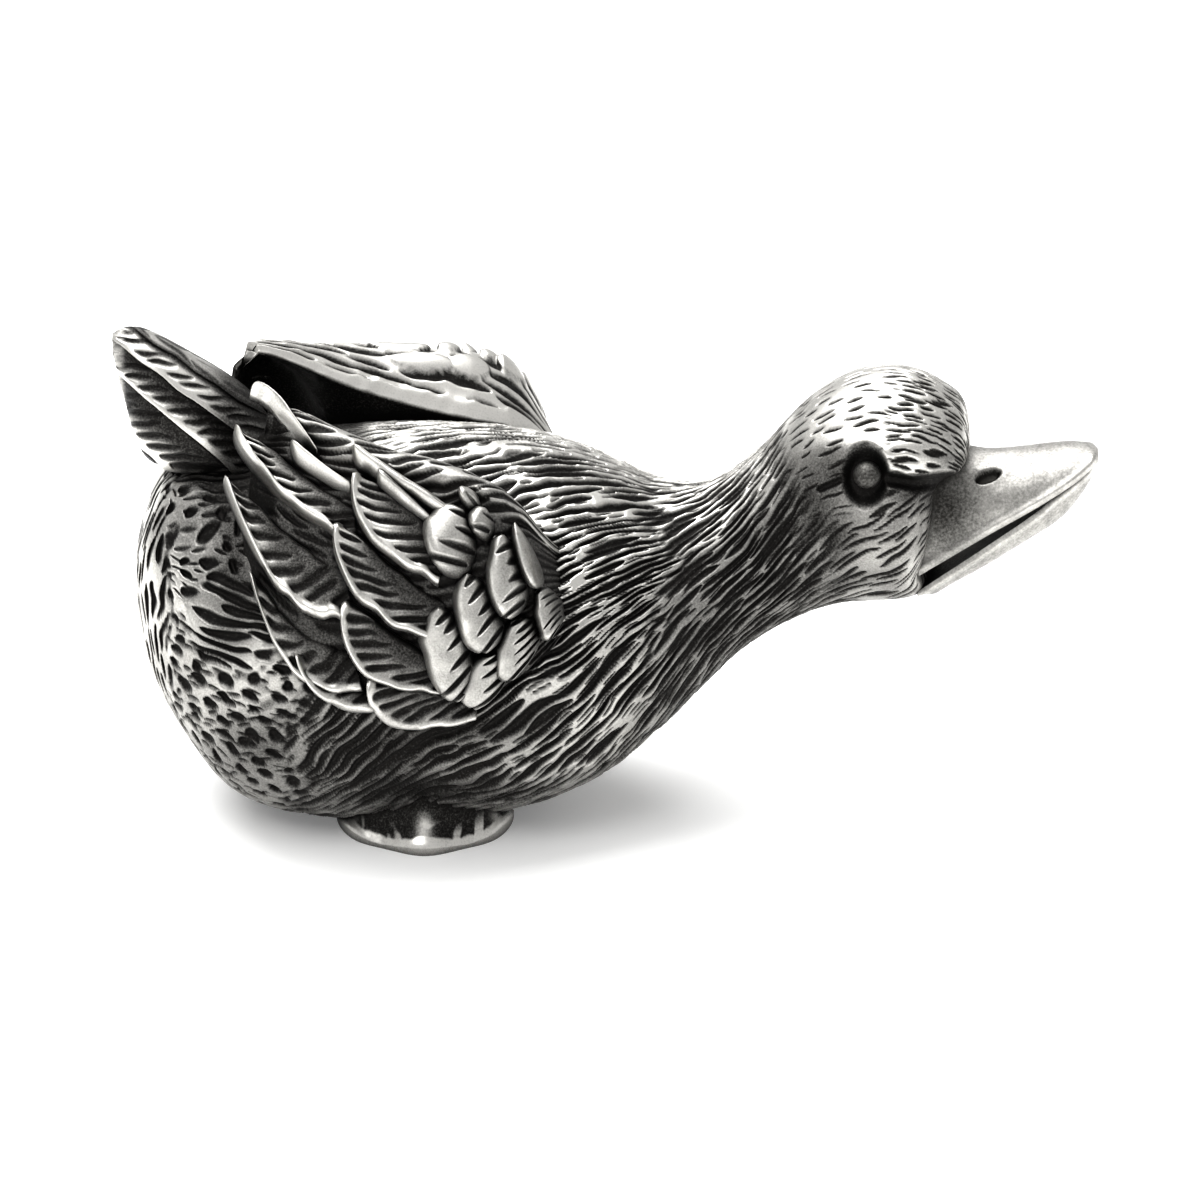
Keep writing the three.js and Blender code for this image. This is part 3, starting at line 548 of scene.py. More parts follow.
# Places darkened as painted shade, where the light falls least: x, seen height, their reaches, and how much
# wear they lose.
BODY_SHADOWS = [
    (-18.5, 22.4, 4.2, 1.6, 0.75), (-12.9, 2.6, 4.4, 2.4, 0.8), (-9.0, 3.9, 4.0, 0.8, 0.7),
    (-21.2, 2.8, 4.5, 3.0, 0.6), (11.5, 20.5, 2.2, 1.8, 0.35), (-24.4, 17.0, 2.8, 2.2, 0.6),
    (-11.0, -0.3, 5.4, 1.3, 0.9), (-22.4, 14.5, 1.9, 5.5, 0.85), (-22.4, 19.4, 1.8, 2.4, 0.8),
]
# A pocket pressed in over each foot: x, seen height, their reaches, its depth in mm, and the angles
# between which it begins and ends.
POCKET, POCKET_DEPTH = (-11.0, -0.7, 4.6, 1.4), 0.6
POCKET_START, POCKET_STOP = (1.9, 2.2), (2.8, 2.5)


def body_cuts(place, angle):
    """How far the skin is pressed in, in mm, and its wear with painted shade. The tracts' angle is counted
    from where they part, which moves by a share of a turn that shrinks to nothing at the belly."""
    size = np.abs(angle)
    parted = np.abs(angle - PARTED_AT * (1 - size / math.pi))
    points = skin(place, size)
    x, height = points[..., 0], seen_height(points)
    along = travelled(place, size)
    stray = noise(along, size * BREAST_RADIUS, 3, STRAY_SIZE)
    on_neck, on_rump, hidden_back = body_regions(points, size, stray)
    depth = tract_cuts(along, size, parted, on_neck)
    depth = np.clip((1 - on_rump) * depth + on_rump * rump_cuts(points, stray), 0, 1)
    depth = depth * (1 - HIDDEN_FLATTENING * hidden_back) * (1 - smooth(*BELLY_HEIGHT, points[..., 2]))
    # The top is made lighter, partly as painted light from above.
    top_lit_and_rubbed = np.maximum(smooth(*BODY_TOP_ANGLE, size), RUMP_SHARE_OF_TOP * on_rump)
    level = (BODY_WEAR_AND_TOP_LIGHT[0] + BODY_WEAR_AND_TOP_LIGHT[1] * top_lit_and_rubbed) * (1 - on_neck)
    level = level + (NECK_WEAR_AND_TOP_LIGHT[0] + NECK_WEAR_AND_TOP_LIGHT[1] * smooth(*NECK_TOP_ANGLE, size)) * on_neck
    wear_and_painted_light = level * (1 + 0.2 * stray) * (1 - smooth(0.0, BLACK_AT, depth))
    wear_and_painted_light = shadowed(wear_and_painted_light, x, height, BODY_SHADOWS) * (1 - HIDDEN_LOSS * hidden_back)
    full_depth = CUT_DEPTH + (NECK_CUT_DEPTH - CUT_DEPTH) * on_neck
    grain = GRAIN_HEIGHT * noise(along, size * GRAIN_RADIUS, 51, GRAIN_SIZE)
    pocket = POCKET_DEPTH * spot(x, height, *POCKET) * smooth(*POCKET_START, size)
    return full_depth * depth + grain + pocket * smooth(*POCKET_STOP, size), wear_and_painted_light


print("%d shadows on the body" % len(BODY_SHADOWS))

# %% [markdown]
# A surface this finely cut needs points a tenth of a millimetre apart, more than one piece may hold. So
# the body is made in four, as if a mould had parted along its middle and behind the breast. Each quarter
# is a tube of half rings, whose closing side is the flat parting face inside the casting.

# %% The body in four quarters
PARTING_X = -6.0
QUARTER_ROWS, QUARTER_COLUMNS = 236, 404


def body_quarter(first, last, side):
    """Half rings from the back, 0, to the belly, pi, pressed in by the cuts and cut flat by the table."""
    place = even_places(first, last, QUARTER_ROWS)[:, None]
    angle = side * np.linspace(0, math.pi, QUARTER_COLUMNS)[None, :]
    depth, wear_and_painted_light = body_cuts(*np.broadcast_arrays(place, angle))
    rings = skin(place, np.abs(angle), -depth, side)
    rings[..., 1][:, [0, -1]] = 0
    rings[..., 2] = np.maximum(rings[..., 2], 0)
    return tube(rings, wear_and_painted_light, creases=(0, QUARTER_COLUMNS - 1), sharp_ends=True)


parting, neck_joint = place_on_spine(PARTING_X), place_on_spine(NECK_JOINT_X)
for side_name, side in SIDES.items():
    rear = [body_quarter(TIP_INSET, parting, side)]
    make_piece("body_rear_" + side_name, rear, ["body"], "antique_pewter")
    breast = [body_quarter(parting, neck_joint, side)]
    make_piece("body_breast_" + side_name, breast, ["body"], "antique_pewter")

# %% [markdown]
# The head is smoother than the body: a rubbed crown with a few dashes, a cheek that swells in front of the
# neck, and an eye that sits in a deep socket under a heavy brow. Forms this size are pushed out of or
# into the skin before it is cut, by bells and grooves placed in the side view.

# %% Brow, cheek and socket
EYE_X, EYE_ANGLE = 16.5, math.radians(63)
EYE_RADIUS, EYE_DEPTH = 0.85, 0.35
EYE_SEEN = (15.74, 19.23)
SOCKET_HALF_LENGTH, SOCKET_HALF_HEIGHT, SOCKET_DEPTH = 1.5, 2.0, 0.85
# Between which shares of its half size the socket falls away, and turns black.
SOCKET_WALL, SOCKET_BLACK = (1.08, 0.6), (1.12, 0.8)
# Swellings: x, seen height, their reaches, and how far they stand out in mm.
SWELLINGS = [
    (17.8, 20.7, 2.2, 1.1, 0.6), (14.4, 20.9, 2.0, 0.8, 0.3), (17.2, 15.6, 2.6, 1.8, 0.65),
]
# Grooves from point to point in the side view, then half width and depth in mm.
GROOVES = [
    (16.8, 19.1, 18.7, 18.75, 0.55, 0.7), (18.7, 18.75, 21.0, 19.0, 0.6, 0.7),
    (14.6, 19.2, 13.0, 18.5, 0.26, 0.3),
]
GROOVE_WALL, GROOVE_BLACK = (1.2, 0.2), (1.25, 0.7)
# The angles between which the face begins below the crown, and ends above the throat.
FACE_START, FACE_STOP = (0.35, 0.75), (2.6, 2.2)


def to_segment(x, height, x0, height0, x1, height1):
    """Distance from a line between two points of the side view."""
    dx, dh = x1 - x0, height1 - height0
    t = np.clip(((x - x0) * dx + (height - height0) * dh) / (dx**2 + dh**2), 0, 1)
    return np.hypot(x - x0 - t * dx, height - height0 - t * dh)


def head_form(x, height, size):
    """How far the head's skin stands out in mm, before its cuts, and how black its hollows are, 0 to 1."""
    on_face = smooth(*FACE_START, size) * smooth(*FACE_STOP, size)
    rise = sum(up * spot(x, height, *place) for *place, up in SWELLINGS)
    along_eye = (x - EYE_SEEN[0]) / SOCKET_HALF_LENGTH
    off_eye = np.hypot(along_eye, (height - EYE_SEEN[1]) / SOCKET_HALF_HEIGHT)
    black = smooth(*SOCKET_BLACK, off_eye)
    pressed = SOCKET_DEPTH * smooth(*SOCKET_WALL, off_eye)
    for *line, half_width, deep in GROOVES:
        off = to_segment(x, height, *line) / half_width
        pressed = np.maximum(pressed, deep * smooth(*GROOVE_WALL, off))
        black = np.maximum(black, smooth(*GROOVE_BLACK, off))
    return (rise - pressed) * on_face, black * on_face


print("eye %.1f mm across in a socket %.1f mm high" % (2 * EYE_RADIUS, 2 * SOCKET_HALF_HEIGHT))

# %% The head
HEAD_ROWS, HEAD_COLUMNS = 200, 480
CROWN_RADIUS = 6.5
# Its kinds of cuts, given as the body's are.
CROWN_DASHES, BROW_DASHES = (2.1, 0.62, 0.22, 0.75, 0.12), (1.7, 0.44, 0.2, 0.85, 0.1)
CHEEK_CUTS = (3.0, 0.56, 0.3, 0.95, 0.14)
# Their depth in mm, the share of it that the crown's dashes have, and the share from which a cut is black.
HEAD_CUT_DEPTH, CROWN_DASH_SHARE, HEAD_BLACK_AT = 0.18, 0.75, 0.6
# How many mm the crown's and the cheek's cuts sink for each mm along them.
CROWN_SLOPE, CHEEK_SLOPE = 0.12, 0.28
# Where the neck's cuts end and the brow's begin along X, and the angles where the cheek's begin and where
# all end, just short of the throat's middle.
NECK_STOP_X, BROW_X = (14.4, 11.4), (16.6, 18.4)
CHEEK_ANGLE, THROAT_ANGLE = (1.15, 1.5), (3.12, 3.0)
# How far the lines of cuts wander sideways, and the size of the borders' bends, in mm.
CROWN_WANDER, CHEEK_WANDER, HEAD_STRAY_SIZE = 0.3, 0.45, 1.7
# Wear of the crown, how much less the cheek has, partly as painted shade below the lit crown, and how much
# it varies.
CROWN_WEAR, CHEEK_LOSS_AND_SHADE, WEAR_STRAY = 0.95, 0.29, 0.18
# Places of the head darkened as painted shade, given as the body's: behind the eye, under the brow, on the
# forehead and at the bill's base.
HEAD_SHADOWS = [
    (12.0, 17.2, 2.7, 3.4, 0.85), (20.6, 18.0, 1.0, 1.5, 0.7), (18.6, 18.0, 2.0, 0.6, 0.7),
    (13.4, 15.0, 1.6, 2.0, 0.5), (13.8, 19.4, 1.6, 1.4, 0.5), (20.8, 20.3, 1.2, 0.7, 0.5),
    (20.9, 22.0, 0.9, 1.6, 0.25), (13.9, 20.4, 1.8, 1.5, 0.35),
]


def head_cuts(x, along, angle, stray):
    """Depth of the head's cuts, 0 to 1, and how far a point lies low on the cheek. Across the cuts, distance
    is the angle times the crown's radius, plus their slope times the distance along."""
    size, round_it = np.abs(angle), angle * CROWN_RADIUS
    crown = round_it + CROWN_SLOPE * along + wander(along, round_it, CROWN_WANDER, 61)
    cheek = size * CROWN_RADIUS + CHEEK_SLOPE * along + wander(along, round_it, CHEEK_WANDER, 62)
    low = smooth(*CHEEK_ANGLE, size + 0.15 * stray)
    on_brow = smooth(*BROW_X, x + 0.5 * stray)
    dashes = CROWN_DASH_SHARE * cuts(along, crown, CROWN_DASHES, 64)
    dashes = np.maximum(dashes, on_brow * cuts(along, crown, BROW_DASHES, 66))
    return (1 - low) * dashes + low * cuts(along, cheek, CHEEK_CUTS, 65), low


def head_skin(place, angle):
    """The head's points in mm and their wear with painted shade: the skin, plus its form, less its cuts."""
    size = np.abs(angle)
    points = skin(place, size)
    x, height = points[..., 0], seen_height(points)
    rise, black = head_form(x, height, size)
    along = travelled(place, angle)
    stray = noise(along, angle * CROWN_RADIUS, 63, HEAD_STRAY_SIZE)
    depth, low = head_cuts(x, along, angle, stray)
    depth = np.clip(depth, 0, 1) * (1 - black) * smooth(*THROAT_ANGLE, size)
    # The cheek is darker than the crown, partly as painted shade.
    level = CROWN_WEAR - CHEEK_LOSS_AND_SHADE * low + WEAR_STRAY * stray
    wear_and_painted_light = shadowed(level * (1 - smooth(0.0, HEAD_BLACK_AT, depth)) * (1 - black), x, height, HEAD_SHADOWS)
    neck_depth, neck_wear_and_painted_light = body_cuts(place, angle)
    on_neck = smooth(*NECK_STOP_X, np.interp(place, PLACES, PLACES_X) + stray)
    pressed = on_neck * neck_depth + (1 - on_neck) * HEAD_CUT_DEPTH * depth
    wear_and_painted_light = on_neck * neck_wear_and_painted_light + (1 - on_neck) * wear_and_painted_light
    return skin(place, size, rise - pressed, np.where(angle < 0, -1, 1)), wear_and_painted_light


place = even_places(neck_joint, SPINE_END - TIP_INSET, HEAD_ROWS)[:, None]
angle = np.linspace(-math.pi, math.pi, HEAD_COLUMNS, endpoint=False)[None, :]
head_points, head_wear_and_painted_light = head_skin(*np.broadcast_arrays(place, angle))
head_tube = tube(head_points, head_wear_and_painted_light, sharp_ends=True)
make_piece("carved_head", [head_tube], ["head"], "antique_pewter")

# %% [markdown]
# Each eye is a plain round bead. Rubbed metal would flash in it, so its wear is held back to a dull grey.

# %% The eyes
BEAD_RINGS, BEAD_COLUMNS = 24, 40
# How far from its poles, in radians, the bead's first and last rings lie, and its wear.
POLE_GAP, BEAD_WEAR = 0.03, 0.2


def bead(centre, radius):
    """A ball as rings along Y: ring k has radius sin(t) and stands at cos(t), for t from pole to pole."""
    t = np.linspace(POLE_GAP, math.pi - POLE_GAP, BEAD_RINGS)[:, None]
    turn = np.linspace(0, 2 * math.pi, BEAD_COLUMNS, endpoint=False)[None, :]
    ring = np.stack([np.sin(t) * np.cos(turn), np.cos(t) + 0 * turn, np.sin(t) * np.sin(turn)], -1)
    return centre + radius * ring


for side_name, side in SIDES.items():
    centre = skin(place_on_spine(EYE_X), EYE_ANGLE, -EYE_DEPTH, side)
    eye = [tube(bead(centre, EYE_RADIUS), BEAD_WEAR)]
    make_piece(side_name + "_eye_bead", eye, [side_name + "_eye"], "rubbed_pewter")

# %% [markdown]
# The bill is two smooth castings that meet at the gape. Each is a dome over a flat side, lofted through a
# few sections: where its outer line runs, where its rim runs, and how wide it is. The upper one has a
# rounded lip along its rim and a sunk nostril on each side.

# %% The bill
# along X, outer line, rim, half width
UPPER_BILL = np.array([
    (19.0, 23.9, 16.2, 3.5), (21.0, 23.5, 17.4, 3.3), (23.3, 22.95, 18.8, 3.1), (26.1, 23.1, 20.45, 2.9),
    (28.3, 23.3, 21.75, 2.4), (29.5, 23.25, 22.4, 1.5), (30.0, 22.9, 22.55, 0.6),
])
LOWER_BILL = np.array([
    (19.0, 14.3, 15.0, 3.1), (20.0, 13.95, 15.7, 3.05), (21.0, 14.5, 16.4, 3.0), (23.3, 15.8, 18.0, 2.85),
    (26.1, 17.6, 20.0, 2.6), (27.2, 18.3, 20.95, 2.4), (28.3, 19.3, 21.75, 2.1), (29.4, 20.9, 22.4, 1.3),
    (29.8, 21.8, 22.6, 0.5),
])
BILL_ROWS, DOME_COLUMNS, GAPE_COLUMNS = 150, 130, 40
# The nostril in the side view: its middle, its half length and half height, its slope, and its depth.
NOSTRIL_SEEN, NOSTRIL_HALF, NOSTRIL_SLOPE, NOSTRIL_DEPTH = (23.25, 19.3), (0.75, 0.4), 0.3, 0.5
# Between which shares of its half size the nostril falls away, how far from the middle it may begin, and
# the wear it loses inside.
NOSTRIL_WALL, NOSTRIL_FROM_Y, NOSTRIL_LOSS = (1.15, 0.75), 0.8, 1.2
# The lip stands this high, at this many of its own widths from the rim.
LIP_WIDTH, LIP_HEIGHT, LIP_PLACE = 0.3, 0.2, 1.2
# Casting marks: sizes in mm of the coarse and the fine ones, the share of the fine, their height in mm, and
# how much they change the wear.
COARSE, FINE, FINE_SHARE, MARK_HEIGHT, MARK_WEAR = 0.5, 0.21, 0.6, 0.012, 0.08
BILL_WEAR, LIP_WEAR, GAPE_WEAR = 0.64, 0.24, 0.2
# Added to lengths, because on the flat side some are nothing and have to divide.
SHORTEST = 1e-9
# The bill's base darkened as painted shade under the brow, given as the body's shadows.
BILL_SHADOWS = [(20.6, 17.4, 2.0, 2.8, 0.85)]


def bill_half(sections, has_nostrils):
    """Rings of a dome: wide cos(t) across, (outer - rim) sin(t) to the 0.8 up, closed by a flat side. The
    lip is a bell: e to the minus squared distance from its place, counted in its widths."""
    rows = through(sections, np.linspace(0, len(sections) - 1, BILL_ROWS))[:, None, :]
    x, outer, rim, wide = np.moveaxis(rows, 2, 0)
    t = np.linspace(0, math.pi, DOME_COLUMNS)[None, :]
    flat = np.linspace(-1, 1, GAPE_COLUMNS + 2)[None, 1:-1]
    y = np.concatenate([wide * np.cos(t), wide * flat], 1)
    z = np.concatenate([rim + (outer - rim) * np.sin(t) ** 0.8, rim + 0 * flat], 1)
    x, rim = x + 0 * y, rim + 0 * y
    points = np.stack([x, y, z], -1)
    outward = points - np.stack([x, 0 * y, rim], -1)
    outward /= np.linalg.norm(outward, axis=2, keepdims=True) + SHORTEST
    on_dome = np.arange(y.shape[1])[None, :] < DOME_COLUMNS
    lip = np.exp(-((np.abs(z - rim) - LIP_PLACE * LIP_WIDTH) / LIP_WIDTH) ** 2)
    marks = noise(x / COARSE, z / COARSE + y, 71) + FINE_SHARE * noise(x / FINE, z / FINE + y, 72)
    push = LIP_HEIGHT * lip - MARK_HEIGHT * marks
    height = seen_height(points)
    wear_and_painted_light = shadowed(BILL_WEAR + MARK_WEAR * marks + LIP_WEAR * lip, x, height, BILL_SHADOWS)
    if has_nostrils:
        dx, dh = x - NOSTRIL_SEEN[0], height - NOSTRIL_SEEN[1]
        round_it = np.hypot(dx / NOSTRIL_HALF[0], (dh - NOSTRIL_SLOPE * dx) / NOSTRIL_HALF[1])
        sunk = smooth(*NOSTRIL_WALL, round_it) * (np.abs(y) > NOSTRIL_FROM_Y)
        push, wear_and_painted_light = push - NOSTRIL_DEPTH * sunk, wear_and_painted_light - NOSTRIL_LOSS * sunk
    pushed = points + (push * on_dome)[..., None] * outward
    return tube(pushed, np.where(on_dome, wear_and_painted_light, GAPE_WEAR), creases=(0, DOME_COLUMNS - 1))


for name, sections in (("upper_bill", UPPER_BILL), ("lower_bill", LOWER_BILL)):
    half = [bill_half(sections, name == "upper_bill")]
    make_piece(name + "_shell", half, [name], "rubbed_pewter")

# %% [markdown]
# The tail is an upright wedge, and its feathers lap like tiles from the top ridge down. In the side view
# they all slant one way, so one slanted coordinate tells them apart: the two lines it lies between say which
# feather, and how far across it. The skin swells towards each lower edge and then drops to the next feather.
# Dark level slots are combed into every feather but the ridge, which has thin lines along it.

# %% The tail
# along X, top ridge, lower edge, half width
TAIL = np.array([
    (-19.6, 23.6, 20.4, 1.2), (-21.4, 26.5, 20.6, 2.6), (-23.0, 27.9, 21.2, 3.3), (-25.0, 29.2, 21.6, 3.7),
    (-27.0, 30.5, 22.0, 3.3), (-28.4, 31.19, 23.2, 2.5), (-29.4, 31.19, 26.8, 1.4), (-30.0, 30.8, 29.6, 0.5),
])
TAIL_ROWS, TAIL_COLUMNS = 260, 340
TAIL_TIP_SEEN = (-28.8, 28.0)
TAIL_SLANT = math.radians(40)
# Distances below the tip, across the slant, of the lines between the feathers, and the share of each
# feather by which it has swollen to its full height.
FEATHER_EDGES = np.array([-3.0, -0.2, 1.15, 2.6, 4.7, 9.0])
SWOLLEN_AT = np.array([0.3, 0.3, 0.8, 0.8, 0.8])
# How the lines fan out for each mm from the tip, how much less so for each mm below it, and how far and in
# bends of which size they stray, in mm.
FAN, FAN_LOSS, FAN_STRAY, FAN_STRAY_SIZE = 0.08, 0.035, 0.1, 1.5
# A feather's height at its start, as a share of the step, how much it swells, and where across it the
# swelling and the drop begin.
START_SWELL, SWELL_MORE, SWELL_FROM, DROP_FROM = 0.2, 0.8, 0.06, 0.92
# In mm, the step between feathers, and the depth, pitch, width and reach of the slots. Their slope is for
# each mm along X.
FEATHER_STEP, SLOT_DEPTH, SLOT_PITCH, SLOT_WIDTH, SLOT_REACH = 0.5, 0.24, 0.6, 0.46, 1.5
SLOT_SLOPE = 0.08
# How far the slots stray and in bends of which size, in mm, the shares of a feather where they start and
# over which they reach at most, and the wear at the feather's start and what its swelling adds.
SLOT_STRAY, SLOT_STRAY_SIZE, SLOT_START, SLOT_SHARE = 0.1, 0.8, 0.8, 0.7
START_WEAR, SWELL_WEAR = 0.05, 0.95
# Each feather's slots are counted from this much further on, so that they don't line up with the next.
SLOT_SHIFT = 7
# Thin lines along the ridge, given as the body's cuts are, the least wear there and how much more it has
# between the lines, and how far below the tip that fades in.
RIDGE_LINES, RIDGE_WEAR, RIDGE_BELOW = (2.6, 0.34, 0.2, 1.1, 0.12), (0.1, 0.65), (-0.25, -0.5)
# The tip and the lower edge are rubbed, and the root is in the shadow of the wings.
RUBBED_WEAR, TAIL_TIP_X, TAIL_ROOT_X, ROOT_LOSS = 0.72, (-29.0, -29.6), (-24.8, -22.8), 0.75
# The rubbed lower edge: its heights in mm over the edge, and the seen heights where it begins.
EDGE_OVER, EDGE_SEEN = (0.9, 0.4), (22.5, 24.5)
# The relief sinks a side by at most this share of its half width.
SUNK_AT_MOST = 0.7


def tail_feather(x, height):
    """Which feather a point of the side view lies on, how far across it, 0 to 1, how wide it is there in mm,
    and the point's distances in mm below the tip across the slant, and from the tip along it."""
    dx, dh = x - TAIL_TIP_SEEN[0], height - TAIL_TIP_SEEN[1]
    below = -(dx * math.sin(TAIL_SLANT) + dh * math.cos(TAIL_SLANT))
    from_tip = dx * math.cos(TAIL_SLANT) - dh * math.sin(TAIL_SLANT)
    stray = FAN_STRAY * noise(from_tip / FAN_STRAY_SIZE, below, 81)
    below = below + from_tip * (FAN - FAN_LOSS * below) + stray
    feather = np.searchsorted(FEATHER_EDGES, below.ravel()).reshape(below.shape) - 1
    feather = np.clip(feather, 0, len(FEATHER_EDGES) - 2)
    start, stop = FEATHER_EDGES[feather], FEATHER_EDGES[feather + 1]
    return feather, np.clip((below - start) / (stop - start), 0, 1), stop - start, below, from_tip


def tail_surface():
    """Rings of an upright lens: half the height times cos(t) up, the half width times sin(t) to the 1.1 out.
    The relief sinks the sides, by a share that shrinks to nothing at the ridge and the lower edge."""
    rows = through(TAIL, np.linspace(0, len(TAIL) - 1, TAIL_ROWS))[:, None, :]
    x, top, bottom, wide = np.moveaxis(rows, 2, 0)
    t = np.linspace(0, 2 * math.pi, TAIL_COLUMNS, endpoint=False)[None, :]
    out = np.sign(np.sin(t)) * np.abs(np.sin(t)) ** 1.1
    x = x + 0 * t
    points = np.stack([x, wide * out, (top + bottom) / 2 + (top - bottom) / 2 * np.cos(t)], -1)
    height = seen_height(points)
    feather, across, size, below, from_tip = tail_feather(x, height)
    swell = START_SWELL + SWELL_MORE * smooth(SWELL_FROM, SWOLLEN_AT[feather], across)
    swell = np.where(feather == 0, 1, swell - smooth(DROP_FROM, 1.0, across))
    level = height + SLOT_SLOPE * x + SLOT_STRAY * noise(x, height, 84, SLOT_STRAY_SIZE)
    share = (SLOT_START - across) * size / np.minimum(SLOT_SHARE * size, SLOT_REACH)
    slots = combed(level + SLOT_SHIFT * feather, share, SLOT_PITCH, SLOT_WIDTH, 82) * (feather > 0)
    sunk = np.minimum(FEATHER_STEP * (1 - swell) + SLOT_DEPTH * slots, SUNK_AT_MOST * wide)
    points[..., 1] -= np.sign(points[..., 1]) * np.abs(out) ** 0.5 * sunk
    plain = 1 - cuts(from_tip, below, RIDGE_LINES, 83)
    ridge = RIDGE_WEAR[0] + RIDGE_WEAR[1] * plain * smooth(*RIDGE_BELOW, below)
    wear_and_painted_light = np.where(feather == 0, ridge, (START_WEAR + SWELL_WEAR * swell**3) * (1 - slots))
    on_edge = smooth(*EDGE_OVER, points[..., 2] - bottom) * smooth(*EDGE_SEEN, height)
    wear_and_painted_light = np.maximum(wear_and_painted_light, RUBBED_WEAR * np.maximum(on_edge, smooth(*TAIL_TIP_X, x)))
    return tube(points, wear_and_painted_light * (1 - ROOT_LOSS * smooth(*TAIL_ROOT_X, x)), sharp_ends=True)


make_piece("tail_feathers", [tail_surface()], ["tail"], "antique_pewter")

# %% [markdown]
# A folded wing is a sheet that lies over the body's side and lifts off it towards the tail, where it
# leaves a hollow over the back. Its place is given by stations along the spine, and by four lines: the
# inner edge, the ridge, the widest line and the lower edge, each at an angle round the body and a rise
# off its skin. A number called the line runs from the ridge, 0, to the lower edge, 1.

# %% The wing as a function of x and line
# along X, four angles in degrees, four rises in mm, thickness
WING = np.array([
    (-23.8, 13, 15, 26, 44, 5.6, 6.1, 3.6, 1.7, 0.8), (-21.6, 13, 18, 34, 60, 4.9, 5.7, 3.1, 1.4, 1.2),
    (-19.0, 14, 22, 44, 78, 3.8, 5.2, 2.5, 1.2, 2.6), (-16.0, 16, 28, 54, 89, 2.4, 5.0, 2.4, 1.2, 6.5),
    (-13.0, 20, 32, 62, 92, 1.3, 4.7, 2.4, 1.2, 7.0), (-10.0, 23, 34, 66, 92, 0.6, 4.8, 2.6, 1.2, 7.0),
    (-7.0, 26, 37, 67, 90, 0.2, 4.8, 2.7, 1.2, 7.0), (-4.4, 31, 40, 67, 84, 0.0, 4.4, 2.3, 1.0, 7.0),
    (-3.0, 37, 43, 66, 80, -0.2, 3.5, 2.0, 0.9, 7.0), (-1.9, 43, 47, 65, 76, -0.5, 1.5, 1.0, 0.4, 7.0),
    (-1.2, 46, 49, 65, 73, -0.8, -0.3, -0.4, -0.7, 7.0),
], float)
WING_LINES = np.array([-0.3, 0.0, 0.55, 1.0])
LINE_LENGTH = 15.0
# In mm, how far the sheet lies under the feathers, how thick its inner edge is, and how far its inner face
# may sink into the body.
SHEET_DROP, SHEET_RIM, SHEET_ROOT = 0.8, 0.15, 1.0


def between_lines(corners, line):
    """The curve through four corner values that lie at WING_LINES, at each line."""
    k = np.clip(np.searchsorted(WING_LINES, line, side="right") - 1, 0, len(WING_LINES) - 2)
    f = (line - WING_LINES[k]) / (WING_LINES[k + 1] - WING_LINES[k])
    before, after = 2 * corners[:, :1] - corners[:, 1:2], 2 * corners[:, 3:] - corners[:, 2:3]
    padded = np.concatenate([before, corners, after], 1)
    return curve(*(padded[np.arange(len(k)), k + step] for step in range(4)), f)


def wing_profile(x, line):
    """Angle round the body, rise off its skin and thickness of the wing at flat arrays of x and line."""
    row = np.clip(np.searchsorted(WING[:, 0], x, side="right") - 1, 0, len(WING) - 2)
    station = through(WING, row + (x - WING[row, 0]) / (WING[row + 1, 0] - WING[row, 0]))
    angle = np.radians(between_lines(station[:, 1:5], line))
    rise = between_lines(station[:, 5:9], line)
    from_edge = np.clip((line - WING_LINES[0]) / -WING_LINES[0], 0, 1)
    return angle, rise, SHEET_RIM + (station[:, 9] - SHEET_RIM) * from_edge


def wing_point(side, x, line, lift):
    """A point in mm, lifted off the wing's own surface."""
    x, line, lift = np.broadcast_arrays(x, line, lift)
    angle, rise = wing_profile(x.ravel(), line.ravel())[:2]
    points = skin(place_on_spine(x.ravel()), angle, rise + lift.ravel(), side)
    return points.reshape(x.shape + (3,))


print("wing from x = %.1f to %.1f mm" % (WING[0, 0], WING[-1, 0]))

# %% [markdown]
# The feathers are separate closed blades laid over the sheet, the coverts last. Each is named by its tip and
# its root. A flight feather has a rounded bright rim along its free edge, and slots for its barbs combed in
# from there. A covert is a plump leaf, with its notches on the other side. The quills are smooth rods, and
# only the right wing shows any: on the left one, plump feathers swell out of the sheet's crest instead.

# %% The feathers
# tip and root as (x, line), width in mm
QUILLS = [
    ((-23.2, -0.18), (-18.0, 0.12), 1.4), ((-19.9, 0.22), (-15.7, 0.18), 1.3),
    ((-15.7, 0.03), (-8.2, 0.17), 1.6), ((-14.0, 0.1), (-10.2, 0.2), 1.3),
]
FLIGHT = [
    ((-24.1, 0.41), (-15.3, 0.33), 3.9), ((-24.2, 0.83), (-15.6, 0.62), 3.9),
    ((-22.0, 1.05), (-15.0, 0.87), 2.9), ((-18.9, 1.0), (-14.0, 0.96), 1.8),
]
INNER = [
    ((-15.8, 0.21), (-9.4, 0.33), 4.2), ((-16.9, 0.47), (-9.6, 0.57), 4.4),
    ((-16.3, 0.73), (-9.2, 0.83), 3.8), ((-14.6, 0.92), (-7.8, 1.0), 3.2),
]
COVERTS = [
    ((-9.9, 0.36), (-7.6, 0.14), 3.9), ((-7.8, 0.1), (-6.4, 0.05), 1.7), ((-6.9, 0.22), (-5.8, 0.1), 2.0),
    ((-2.6, 0.86), (-2.7, 0.4), 1.9), ((-8.9, 0.93), (-9.9, 0.5), 3.4), ((-6.8, 0.7), (-7.7, 0.36), 3.2),
    ((-7.9, 0.99), (-6.4, 0.72), 3.4), ((-3.0, 0.42), (-3.8, 0.1), 1.5), ((-5.1, 0.56), (-4.9, 0.18), 2.7),
    ((-5.4, 0.94), (-4.4, 0.56), 3.1),
]
